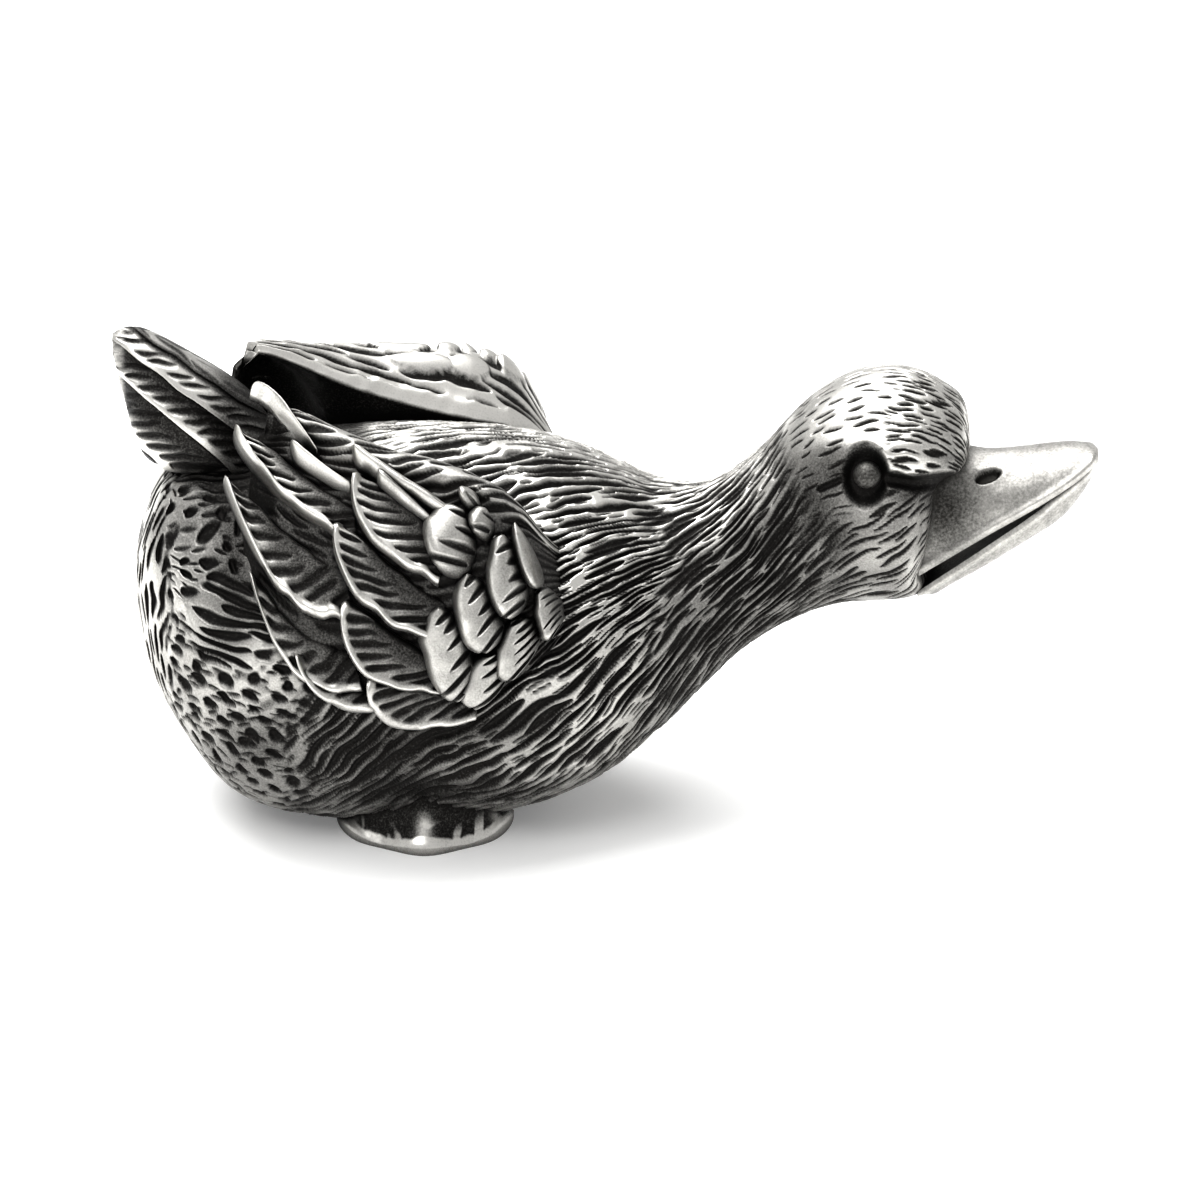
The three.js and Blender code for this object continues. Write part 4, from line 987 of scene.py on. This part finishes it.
# How each kind lies: the lift of its tip and its tilt in mm, which side is free, its doming in mm, and
# whether it is smooth and shaped as a leaf.
QUILL = {"lift": 0.55, "tilt": 0.1, "free": 1, "dome": 0.6, "smooth": True, "leaf": False}
VANE = {"lift": 0.0, "tilt": 0.32, "free": 1, "dome": 0.3, "smooth": False, "leaf": False}
INNER_VANE = {**VANE, "lift": 0.4}
COVERT = {"lift": 0.44, "tilt": 0.12, "free": -1, "dome": 0.65, "smooth": True, "leaf": True}
# The lift of every root, and how far a feather's underside lies below its plane, in mm.
ROOT_LIFT, BLADE_DEPTH = -0.6, 1.1
# The share of its length in which a vane, and a quill, reaches its full width, and what is left at its root.
VANE_TIP, QUILL_TIP, ROOT_SHARE = 0.45, 0.13, 0.66
RIM_FROM_EDGE, RIM_WIDTH, RIM_HEIGHT = 0.26, 0.3, 0.24
# The share of its height that a rim loses in places, that of its wear, the size in mm of such places, and
# the values of the noise from which they begin and are full.
RIM_BREAK, RIM_DULLING, BREAK_SIZE, BREAK_FADE = 0.5, 0.15, 0.8, (-0.1, 0.8)
BARB_SLANT, BARB_PITCH, BARB_WIDTH, BARB_DEPTH = math.radians(32), 0.62, 0.44, 0.3
# The slots start this far in from the free edge in mm, and end this much further in. The tip counts as
# an edge that lies a little further out.
BARB_START, BARB_REACH, TIP_OUT = 0.45, 1.7, 0.1
# The rows of barbs are bent: by how much and in bends of which size, in mm.
BARB_STRAY, BARB_STRAY_SIZE = 0.07, 0.9
# Distances from the free edge in mm, where the rim gives way to the vane, and where the vane's light part
# gives way to its dark one, which it also does along the feather. The dark part is painted shade, where the
# vane runs under the feather above.
RIM_TO_VANE, LIGHT_TO_DARK, LIGHT_ALONG = (0.4, 0.65), (2.5, 0.6), (1.0, 0.3)
# Wear of the dark part, what the light one has more, and what low feathers lose of that as painted shade,
# past which lines.
VANE_DARK, VANE_LIGHT, LOW_SHADE, LOW_LINES = 0.14, 0.95, 0.45, (0.35, 0.6)
NOTCH_SLANT, NOTCH_PITCH, NOTCH_WIDTH, NOTCH_DEPTH = math.radians(35), 0.85, 0.42, 0.32
# The notches start this far in from the forward edge in mm, and reach over this share of the width.
NOTCH_START, NOTCH_REACH = 0.08, 0.5
# Coverts narrower than the second width in mm have shallower notches, and than the first none. Their wear
# in the middle, what their raised back edge has more, partly rubbing and partly painted highlight, and what
# their forward edge has less, as painted shade where it tucks under, then where across them, from -1 to 1,
# either begins and is full.
NOTCHED_WIDTH, COVERT_WEAR, BACK_GAIN_AND_HIGHLIGHT, FORWARD_SHADE = (1.4, 1.9), 0.74, 0.16, 0.45
BACK_FADE, FORWARD_FADE = (0.2, -0.8), (0.2, 1.0)
# A quill's fine lines, given as the body's cuts are, their depth in mm, where across it they begin and are
# full, and the wear between them and what they lose of it.
QUILL_LINES, QUILL_LINE_DEPTH, QUILL_LINE_FADE = (2.4, 0.34, 0.14, 0.8, 0.12), 0.1, (0.3, -0.2)
QUILL_WEAR, QUILL_LINE_LOSS = 0.95, 0.6
# Edges are rounded over this reach and by this drop in mm: those of smooth feathers, then those of vanes.
SMOOTH_EDGE, VANE_EDGE = (0.9, 0.7), (0.4, 0.4)
# How uneven a feather's width and its wear are: by which share, and in bends of which size in mm.
WIDTH_STRAY, RUBBING_STRAY = (0.09, 1.1), (0.18, 0.7)
# The feathers' undersides are near black, as painted shade.
UNDERSIDE_SHADE = 0.05
# Points along each mm of a feather, how much denser they lie across it, the fewest of either, how far the
# first and last row keep from its ends, as a share, and the power that crowds a long feather's at its tip.
POINTS_PER_MM, DENSER_ACROSS, FEWEST_ROWS, FEWEST_COLUMNS = 9.5, 1.2, 16, 14
END_GAP, TIP_CROWDING = 0.004, 1.3
# A long feather's tip curves forward: the share of what its width lacks there, by which it moves aside.
TIP_ASIDE = 0.45


def soft_least(a, b):
    """A smooth smaller of two distances: the minus third root of the sum of their minus third powers."""
    return (np.maximum(a, 1e-4) ** -3.0 + np.maximum(b, 1e-4) ** -3.0) ** (-1 / 3)


def half_width(u, width, kind):
    """Half of a feather's width in mm, for u from its tip, 0, to its root, 1. A leaf's is a blunt arch, the
    root of 1 less the 2.6th power of |2u - 1|. The others rise as a power curve, then taper."""
    if kind["leaf"]:
        return width / 2 * (1 - np.abs(2 * u - 1) ** 2.6) ** 0.5
    rising = (1 - (1 - np.minimum(u / (QUILL_TIP if kind["smooth"] else VANE_TIP), 1)) ** 2.4) ** 0.5
    return width / 2 * rising * (1 - (1 - ROOT_SHARE) * u)


def vane_relief(along, across, half, v, u, line, seed):
    """Height in mm of a flight feather's top over its plane, and its wear: a rim along the free edge, which
    fades from bright to dark behind it, and the slots between its barbs. The dark is painted shade, deeper
    on the low feathers."""
    from_free = soft_least(half * (1 - v), along + TIP_OUT)
    broken = smooth(*BREAK_FADE, noise(along, across, seed + 50, BREAK_SIZE))
    rim = np.exp(-((from_free - RIM_FROM_EDGE) / RIM_WIDTH) ** 2) * (1 - RIM_BREAK * broken)
    rows = along * math.sin(BARB_SLANT) + across * math.cos(BARB_SLANT)
    rows = rows + BARB_STRAY * noise(along, across, seed, BARB_STRAY_SIZE)
    slots = combed(rows, (from_free - BARB_START) / BARB_REACH, BARB_PITCH, BARB_WIDTH, seed)
    inside = smooth(*RIM_TO_VANE, from_free)
    lit = VANE_LIGHT - LOW_SHADE * smooth(*LOW_LINES, line)
    vane = VANE_DARK + lit * smooth(*LIGHT_TO_DARK, from_free) * smooth(*LIGHT_ALONG, u)
    wear_and_painted_light = (1.0 - (1.0 - vane) * inside) * (1 - slots) * (1 - RIM_DULLING * broken)
    return RIM_HEIGHT * rim - BARB_DEPTH * slots, wear_and_painted_light


def covert_relief(along, across, half, v, width, seed):
    """Height in mm of a covert's top over its plane, and its wear: plain, but for the notches cut in near
    its forward edge, which fade out on the narrow ones. Its back edge is lighter, partly rubbing and partly
    painted highlight, and its forward edge darker as painted shade."""
    rows = along * math.cos(NOTCH_SLANT) - across * math.sin(NOTCH_SLANT)
    share = (half * (1 - v) - NOTCH_START) / (NOTCH_REACH * width)
    notches = combed(rows, share, NOTCH_PITCH, NOTCH_WIDTH, seed) * smooth(*NOTCHED_WIDTH, width)
    wear_and_painted_light = COVERT_WEAR + BACK_GAIN_AND_HIGHLIGHT * smooth(*BACK_FADE, v) - FORWARD_SHADE * smooth(*FORWARD_FADE, v)
    return -NOTCH_DEPTH * notches, wear_and_painted_light * (1 - notches)


def quill_relief(along, across, v, seed):
    """Height in mm of a quill's top over its plane, and its wear: a rod, with a few fine lines along it."""
    lines = cuts(along, across, QUILL_LINES, seed) * smooth(*QUILL_LINE_FADE, v)
    return -QUILL_LINE_DEPTH * lines, QUILL_WEAR - QUILL_LINE_LOSS * lines


def blade(side, tip, root, width, kind, seed):
    """One feather. Along it u runs from tip to root, and across it v from -1 to 1. Its edge falls off as a
    quarter circle, and it lies tilted on the wing, with its free edge up."""
    dx, dline = root[0] - tip[0], (root[1] - tip[1]) * LINE_LENGTH
    length = math.hypot(dx, dline)
    rows = int(length * POINTS_PER_MM) + FEWEST_ROWS
    columns = int(width * POINTS_PER_MM * DENSER_ACROSS) + FEWEST_COLUMNS
    u = (np.linspace(END_GAP, 1 - END_GAP, rows) ** (1.0 if kind["leaf"] else TIP_CROWDING))[:, None]
    v = np.sin(np.linspace(-1, 1, columns) * math.pi / 2)[None, :]
    stray = WIDTH_STRAY[0] * noise(u * length / WIDTH_STRAY[1], seed, seed)
    half = half_width(u, width, kind) * (1 + stray)
    full = width / 2 * (1 - (1 - ROOT_SHARE) * u)
    centre = 0 * u if kind["leaf"] else -TIP_ASIDE * (full - np.minimum(half, full))
    along, across = u * length + 0 * v, centre + half * v
    if kind["leaf"]:
        relief, wear_and_painted_light = covert_relief(along, across, half, v, width, seed)
    elif kind["smooth"]:
        relief, wear_and_painted_light = quill_relief(along, across, v, seed)
    else:
        line = tip[1] + u * (root[1] - tip[1]) + across / LINE_LENGTH
        relief, wear_and_painted_light = vane_relief(along, across, half, v, u, line, seed)
    reach, drop = SMOOTH_EDGE if kind["smooth"] else VANE_EDGE
    from_edge = soft_least(half * (1 - np.abs(v)), along)
    rounded = np.sqrt(1 - (1 - np.clip(from_edge / reach, 0, 1)) ** 2)
    top_height = kind["dome"] * (1 - v**2) + relief - drop * (1 - rounded)
    lift = ROOT_LIFT + (kind["lift"] - ROOT_LIFT) * (1 - u)
    wear_and_painted_light = wear_and_painted_light * (1 + RUBBING_STRAY[0] * noise(along, across, seed, RUBBING_STRAY[1]))

    def on_wing(on, off, rise):
        at_x = tip[0] + (on * dx - off * dline) / length
        at_line = tip[1] + (on * dline + off * dx) / length / LINE_LENGTH
        return wing_point(side, at_x, at_line, rise)

    top = on_wing(along, across, lift + top_height + kind["free"] * kind["tilt"] * v)
    back = np.linspace(1, -1, columns // 3)[None, :]
    low = on_wing(along[:, :1] + 0 * back, centre + half * back, lift - BLADE_DEPTH + 0 * back)
    return tube(np.concatenate([top, low], 1), np.concatenate([wear_and_painted_light, UNDERSIDE_SHADE + 0 * low[..., 0]], 1))


print("feathers on the right wing:", len(QUILLS) + len(FLIGHT) + len(INNER) + len(COVERTS))

# %% The wings
SHEET_ROWS, SHEET_TOP, SHEET_UNDER = 260, 150, 50
# Where the sheet starts along X on either wing, and how far its inner and outer corners slant from there.
SHEET_START, SHEET_CORNER = {1: -23.7, -1: -21.8}, 0.9
# The left wing's flight feathers are this many mm shorter than the right one's, so its sheet's start shows.
LEFT_SHORTER = 1.2
# The right sheet's start dives under the feathers: over this length, by this depth in mm.
DIVE_LENGTH, DIVE_DEPTH = 2.4, 1.0
# The bead along the sheet's inner edge: the line it follows, its half width and its straying in lines, its
# height in mm, and the size in mm of the bends in which it strays.
BEAD_LINE, BEAD_WIDTH, BEAD_STRAY, BEAD_HEIGHT, BEAD_STRAY_SIZE = -0.262, 0.032, 0.01, 0.3, 0.7
# Streaks along the sheet, given as the body's cuts are, their depth and how far they wander in mm, and
# their slope on either wing.
STREAKS, STREAK_DEPTH, STREAK_WANDER = (3.6, 0.8, 0.5, 1.15, 0.05), 0.3, 0.25
STREAK_SLOPE = {1: 0.1, -1: 0.45}
# The streaks fade in over this many lines past the bead, and over these distances in mm from the start.
STREAK_FADE_LINES, STREAK_FADE = 0.02, (0.4, 1.2)
# The sheet's wear on either wing, and the share of the streaks' depth from which they are black.
SHEET_WEAR, STREAK_BLACK_AT = {1: 1.0, -1: 0.7}, 0.7
# The power that crowds the sheet's points towards its inner edge.
CROWDING = 1.6
# The lines between which the sheet dips under the feathers, and darkens there by a share as painted shade.
DIP_LINES, DARK_LINES, SHADE_UNDER_FEATHERS = (-0.02, 0.08), (0.0, 0.15), 0.75
# The start's bright rim: its distances in mm from the start, outside and inside, and the lines that end it.
START_RIM, START_RIM_INSIDE, START_RIM_LINES = (0.7, 0.4), (0.6, 0.3), (0.3, 0.0)
# What the outline of a crest feather loses of its wear, and what the dive loses as painted shade.
CREST_LOSS, DIVE_SHADE = 1.6, 0.9
# The inner face is near black as painted shade under the wing; at the start its rim is rubbed bright.
INNER_FACE_SHADE, INNER_RIM_WEAR = 0.03, 0.9
# Plump feathers on the left wing's crest: x, line, half length, half width and height in mm.
CREST = [
    (-12.6, -0.02, 2.4, 0.7, 0.3), (-10.9, -0.12, 2.7, 0.6, 0.3), (-8.9, -0.01, 1.0, 0.7, 0.4),
    (-7.2, -0.11, 1.7, 0.75, 0.3), (-5.6, 0.0, 0.9, 0.7, 0.5), (-4.0, -0.03, 1.1, 1.1, 0.7),
    (-2.7, 0.06, 0.8, 1.3, 0.8),
]


def sheet_rows(side, line):
    """x at each ring and line, and the distance in mm from the sheet's start, whose inner corner lies
    further forward and whose outer one further back."""
    start = SHEET_START[side] + SHEET_CORNER * (smooth(-0.1, -0.3, line) - smooth(0, 0.25, line))
    x = start + (WING[-1, 0] - start) * np.linspace(0, 1, SHEET_ROWS)[:, None]
    return x, x - start


def crest(x, line):
    """Height in mm of the crest's feathers, and how far inside one a point is, 0 to 1: half balls, flattened
    by a square root."""
    height, inside = 0 * x * line, 0 * x * line
    for at_x, at_line, half_length, half_wide, high in CREST:
        across = (line - at_line) * LINE_LENGTH
        left = np.clip(1 - ((x - at_x) / half_length) ** 2 - (across / half_wide) ** 2, 0, 1)
        height = np.maximum(height, high * left**0.5)
        inside = np.maximum(inside, smooth(0.0, 0.3, left))
    return height, inside


def sheet_streaks(side, x, line, bead_here, inside, from_start):
    """Depth, 0 to 1, of the streaks, which leave out the bead, what lies inside it, the crest's feathers and
    the start."""
    across = line * LINE_LENGTH + STREAK_SLOPE[side] * x
    streaks = cuts(x, across + wander(x, across, STREAK_WANDER, 97), STREAKS, 95)
    past_bead = smooth(BEAD_LINE, BEAD_LINE + STREAK_FADE_LINES, line)
    return streaks * (1 - bead_here) * past_bead * (1 - inside) * smooth(*STREAK_FADE, from_start)


def sheet(side):
    """The wing's own sheet: its outer face a little below the feathers, its inner face by its thickness.
    Its inner rim and the left one's start are rubbed bright. Under the feathers, on its inner face and where
    the right one's start dives, it is darkened as painted shade."""
    line = (WING_LINES[0] + (1 - WING_LINES[0]) * np.linspace(0, 1, SHEET_TOP) ** CROWDING)[None, :]
    x, from_start = sheet_rows(side, line)
    stray = BEAD_STRAY * noise(x, 0 * x, 96, BEAD_STRAY_SIZE)
    bead_here = np.exp(-((line - BEAD_LINE - stray) / BEAD_WIDTH) ** 2)
    high, inside = crest(x, line) if side > 0 else (0 * x, 0 * x)
    streaks = sheet_streaks(side, x, line, bead_here, inside, from_start)
    dive = 0 * x if side > 0 else smooth(DIVE_LENGTH, 0, from_start)
    lift = high - SHEET_DROP * smooth(*DIP_LINES, line) * (1 - inside)
    lift = lift - STREAK_DEPTH * streaks + BEAD_HEIGHT * bead_here - DIVE_DEPTH * dive
    top = wing_point(side, x, line, lift)
    painted_shade_under_feathers = SHADE_UNDER_FEATHERS * smooth(*DARK_LINES, line) * (1 - inside)
    wear_and_painted_light = SHEET_WEAR[side] * (1 - painted_shade_under_feathers) * (1 - smooth(0, STREAK_BLACK_AT, streaks))
    start_rim = smooth(*START_RIM, from_start) * smooth(*START_RIM_LINES, line)
    wear_and_painted_light = np.maximum(wear_and_painted_light - CREST_LOSS * inside * (1 - inside), start_rim) - DIVE_SHADE * dive
    back = (slice(None), slice(None, None, -(SHEET_TOP // SHEET_UNDER)))
    x_back, line_back = x[back], line[back] + 0 * x[back]
    angle, rise, thick = wing_profile(x_back.ravel(), line_back.ravel())
    inner = np.minimum(np.maximum(rise - thick, -SHEET_ROOT), rise + lift[back].ravel() - SHEET_RIM)
    low = skin(place_on_spine(x_back.ravel()), angle, inner, side).reshape(x_back.shape + (3,))
    at_start = smooth(*START_RIM_INSIDE, from_start[back]) * (1 - dive[back])
    wear_and_painted_light = np.concatenate([wear_and_painted_light, INNER_FACE_SHADE + INNER_RIM_WEAR * at_start], 1)
    return tube(np.concatenate([top, low], 1), wear_and_painted_light)


ROWS = [(FLIGHT, VANE), (QUILLS, QUILL), (INNER, INNER_VANE), (COVERTS, COVERT)]
for side_name, side in SIDES.items():
    node = side_name + "_wing"
    make_piece(node + "_sheet", [sheet(side)], [node], "antique_pewter")
    blades = []
    for row, (feathers, kind) in enumerate(ROWS):
        if feathers is QUILLS and side_name == "left":
            continue
        for k, (tip, root, width) in enumerate(feathers):
            if feathers is FLIGHT and side_name == "left":
                tip = tip[0] + LEFT_SHORTER, tip[1]
            blades.append(blade(side, tip, root, width, kind, 100 + 20 * row + k))
    make_piece(node + "_feathers", blades, [node], "antique_pewter")

# %% [markdown]
# Each foot is a web spread flat on the table. Seen from above its edge is half an oval, drawn in between
# three toes. It climbs from a thin bright rim to the belly, and the toes run up it as low ridges.

# %% The feet
FOOT_X, FOOT_LENGTH, FOOT_REACH, FOOT_INNER_Y, FOOT_RIM = -11.1, 10.9, 9.2, 3.4, 0.45
# share of the outline, height in mm
FOOT_CLIMB = np.array([
    (1.0, 0.0), (1.0, 0.3), (0.93, 0.85), (0.88, 1.4), (0.83, 2.3), (0.74, 3.4), (0.5, 4.0),
])
# How far in mm the toes rise, the web between them sinks, and its edge is drawn in.
TOES, TOE_RIDGE, WEB_DIP, TOE_SCALLOP = 3, 0.35, 0.25, 0.5
FOOT_ROWS, FOOT_COLUMNS = 90, 260
# Casting pits: their sizes along and across, and their height, in mm.
PITS_ALONG, PITS_ACROSS, PITS_HEIGHT = 0.6, 0.5, 0.04
# Heights in mm between which the web's dip fades in, and the bright rim, the toes' bare tops and the web's
# painted highlights fade out. Wear of the web, and what each of these has more.
DIP_FADE, RIM_FADE, TOE_FADE, HIGHLIGHT_FADE = (0.6, 1.6), (0.75, 0.55), (2.6, 1.2), (1.9, 0.7)
WEB_WEAR, RIM_GAIN, TOE_GAIN, HIGHLIGHT_GAIN = 0.05, 0.9, 0.8, 0.9


def foot(side):
    """Half ovals of shrinking share: length times cos(t) along X, reach times sin(t) out."""
    at, stations = np.linspace(0, 1, FOOT_ROWS), np.linspace(0, 1, len(FOOT_CLIMB))
    share, height = (np.interp(at, stations, column)[:, None] for column in FOOT_CLIMB.T)
    t = np.linspace(0, math.pi, FOOT_COLUMNS)[None, :]
    toe = np.sin(t * TOES) ** 2
    reach = (FOOT_REACH - FOOT_INNER_Y - TOE_SCALLOP * (1 - toe) * np.sin(t)) * share
    x = FOOT_X - FOOT_LENGTH / 2 * share * np.cos(t)
    out = FOOT_INNER_Y + reach * np.sin(t)
    raised = smooth(0, FOOT_RIM, height)
    pits = noise(x / PITS_ALONG, (out + height) / PITS_ACROSS, 91) * raised
    web = WEB_DIP * (1 - toe) * smooth(*DIP_FADE, height)
    z = height + raised * (TOE_RIDGE * toe - web) + PITS_HEIGHT * pits
    rim = smooth(*RIM_FADE, height + 0.2 * pits)
    bare_and_highlights = TOE_GAIN * toe**12 * smooth(*TOE_FADE, height)
    # Mottled patches on the web, brightened as painted highlights.
    bare_and_highlights = bare_and_highlights + HIGHLIGHT_GAIN * smooth(0.0, 0.35, pits) * smooth(*HIGHLIGHT_FADE, height)
    wear_and_painted_light = WEB_WEAR + RIM_GAIN * rim + bare_and_highlights
    return tube(np.stack([x, side * out, np.maximum(z, 0)], -1), wear_and_painted_light, sharp_ends=True)


for side_name, side in SIDES.items():
    node = side_name + "_foot"
    make_piece(node + "_web", [foot(side)], [node], "antique_pewter")

# %% [markdown]
# Polished metal shows its surroundings, so the studio is half of the finish. The duck stands on a white
# table in a white room, and both the camera and the metal see that white. The light itself comes mostly
# from above, so the table keeps the duck's soft shadow.

# %% Table and room
# The table's side in mm, and its own glow, for what looks at it.
TABLE_SIZE, GLOW = 1200.0, 0.16
# The room's light is least in front and most overhead, from these heights of a direction on. Leaning to
# the back counts as height by a share, so the brightest part of the room lies a little behind.
FRONT_LIGHT, OVERHEAD_LIGHT = 0.07, 1.15
FRONT_HEIGHT, OVERHEAD_HEIGHT = -0.55, 0.95
BACK_SHARE = 0.75


def sees_white(tree):
    """1 for what looks at the surroundings directly: the camera, and rays mirrored by or passed by a
    surface. 0 for the diffuse rays that light things."""
    path = add(tree, "LightPath", {})
    seen = {0: path["Is Camera Ray"], 1: path["Is Glossy Ray"]}
    mirrored = add(tree, "Math", seen, operation="MAXIMUM")[0]
    return add(tree, "Math", {0: mirrored, 1: path["Is Transmission Ray"]}, operation="MAXIMUM")[0]


def white_table():
    """White card, pressed smooth: a matt top, with a glow that lifts the shadow on it but keeps it."""
    top = bpy.data.materials.new("white_card")
    top.use_nodes = True
    tree = top.node_tree
    tree.nodes.clear()
    place = add(tree, "TexCoord", {})["Object"]
    grain = add(tree, "TexNoise", {"Vector": place, "Scale": per_mm(2.0), "Detail": 3.0})["Fac"]
    tones = {"Factor": grain, 6: linear("#f4f4f3"), 7: linear("#f8f8f7")}
    tone = add(tree, "Mix", tones, data_type="RGBA")[2]
    matt = add(tree, "BsdfPrincipled", {"Base Color": tone, "Roughness": 0.9})["BSDF"]
    strength = add(tree, "Math", {0: sees_white(tree), 1: GLOW}, operation="MULTIPLY")[0]
    glow = add(tree, "Emission", {"Strength": strength})["Emission"]
    both = add(tree, "AddShader", {0: matt, 1: glow})["Shader"]
    add(tree, "OutputMaterial", {"Surface": both})
    return top


edge = TABLE_SIZE / 2 * MM
corners = [(-edge, -edge, 0), (edge, -edge, 0), (edge, edge, 0), (-edge, edge, 0)]
table_mesh = bpy.data.meshes.new("table")
table_mesh.from_pydata(corners, [], [(0, 1, 2, 3)])
table_mesh.materials.append(white_table())
table = bpy.data.objects.new("table", table_mesh)
bpy.context.scene.collection.objects.link(table)

world = bpy.data.worlds.new("studio")
bpy.context.scene.world = world
world.use_nodes = True
room = world.node_tree
room.nodes.clear()
direction = add(room, "TexCoord", {})["Generated"]
axes = add(room, "SeparateXYZ", {"Vector": direction})
lean = add(room, "Math", {0: axes["Y"], 1: BACK_SHARE}, operation="MULTIPLY")[0]
raised = add(room, "Math", {0: axes["Z"], 1: lean}, operation="ADD")[0]
fade = {
    "Value": raised, "From Min": FRONT_HEIGHT, "From Max": OVERHEAD_HEIGHT,
    "To Min": FRONT_LIGHT, "To Max": OVERHEAD_LIGHT,
}
bright = add(room, "MapRange", fade, interpolation_type="SMOOTHSTEP")["Result"]
level = add(room, "Mix", {"Factor": sees_white(room), 2: bright, 3: 1.0}, data_type="FLOAT")[0]
sky = add(room, "Background", {"Strength": level})["Background"]
add(room, "OutputWorld", {"Surface": sky})
print("the room lights the duck from %.2f in front to %.2f overhead" % (FRONT_LIGHT, OVERHEAD_LIGHT))

# %% [markdown]
# One wide lamp overhead and a little behind gives the long highlights on the nape and the crown. A smaller
# one in front keeps the flank from going black.

# %% Lamps and camera
LOOK_AT = (-0.37, 0.0, 12.97)
FRAME_WIDTH = 73.5
CAMERA_DISTANCE = 900.0
SENSOR_WIDTH = 36.0


def lamp(name, place, size, power):
    """A square lamp at a place in mm, turned to face the duck's middle."""
    light = bpy.data.lights.new(name, "AREA")
    light.size, light.energy = size * MM, power
    holder = bpy.data.objects.new(name, light)
    holder.location = [c * MM for c in place]
    towards = np.array(LOOK_AT) - np.array(place)
    tilt = math.acos(-towards[2] / np.linalg.norm(towards))
    holder.rotation_euler = (tilt, 0, math.atan2(towards[1], towards[0]) - math.pi / 2)
    bpy.context.scene.collection.objects.link(holder)
    return holder


lamp("overhead", place=(-60, 130, 420), size=480, power=4.6)
lamp("front", place=(-140, -240, 380), size=260, power=0.9)

camera = bpy.data.cameras.new("camera")
camera.lens = SENSOR_WIDTH * CAMERA_DISTANCE / FRAME_WIDTH
camera.sensor_width = SENSOR_WIDTH
viewer = bpy.data.objects.new("camera", camera)
viewer.location = (
    LOOK_AT[0] * MM,
    -CAMERA_DISTANCE * math.cos(VIEW_TILT) * MM,
    (LOOK_AT[2] + CAMERA_DISTANCE * math.sin(VIEW_TILT)) * MM,
)
viewer.rotation_euler = (math.pi / 2 - VIEW_TILT, 0, 0)
bpy.context.scene.collection.objects.link(viewer)
bpy.context.scene.camera = viewer
bpy.context.scene.view_settings.view_transform = "Standard"
print("lens %.0f mm at %.0f mm" % (camera.lens, CAMERA_DISTANCE))
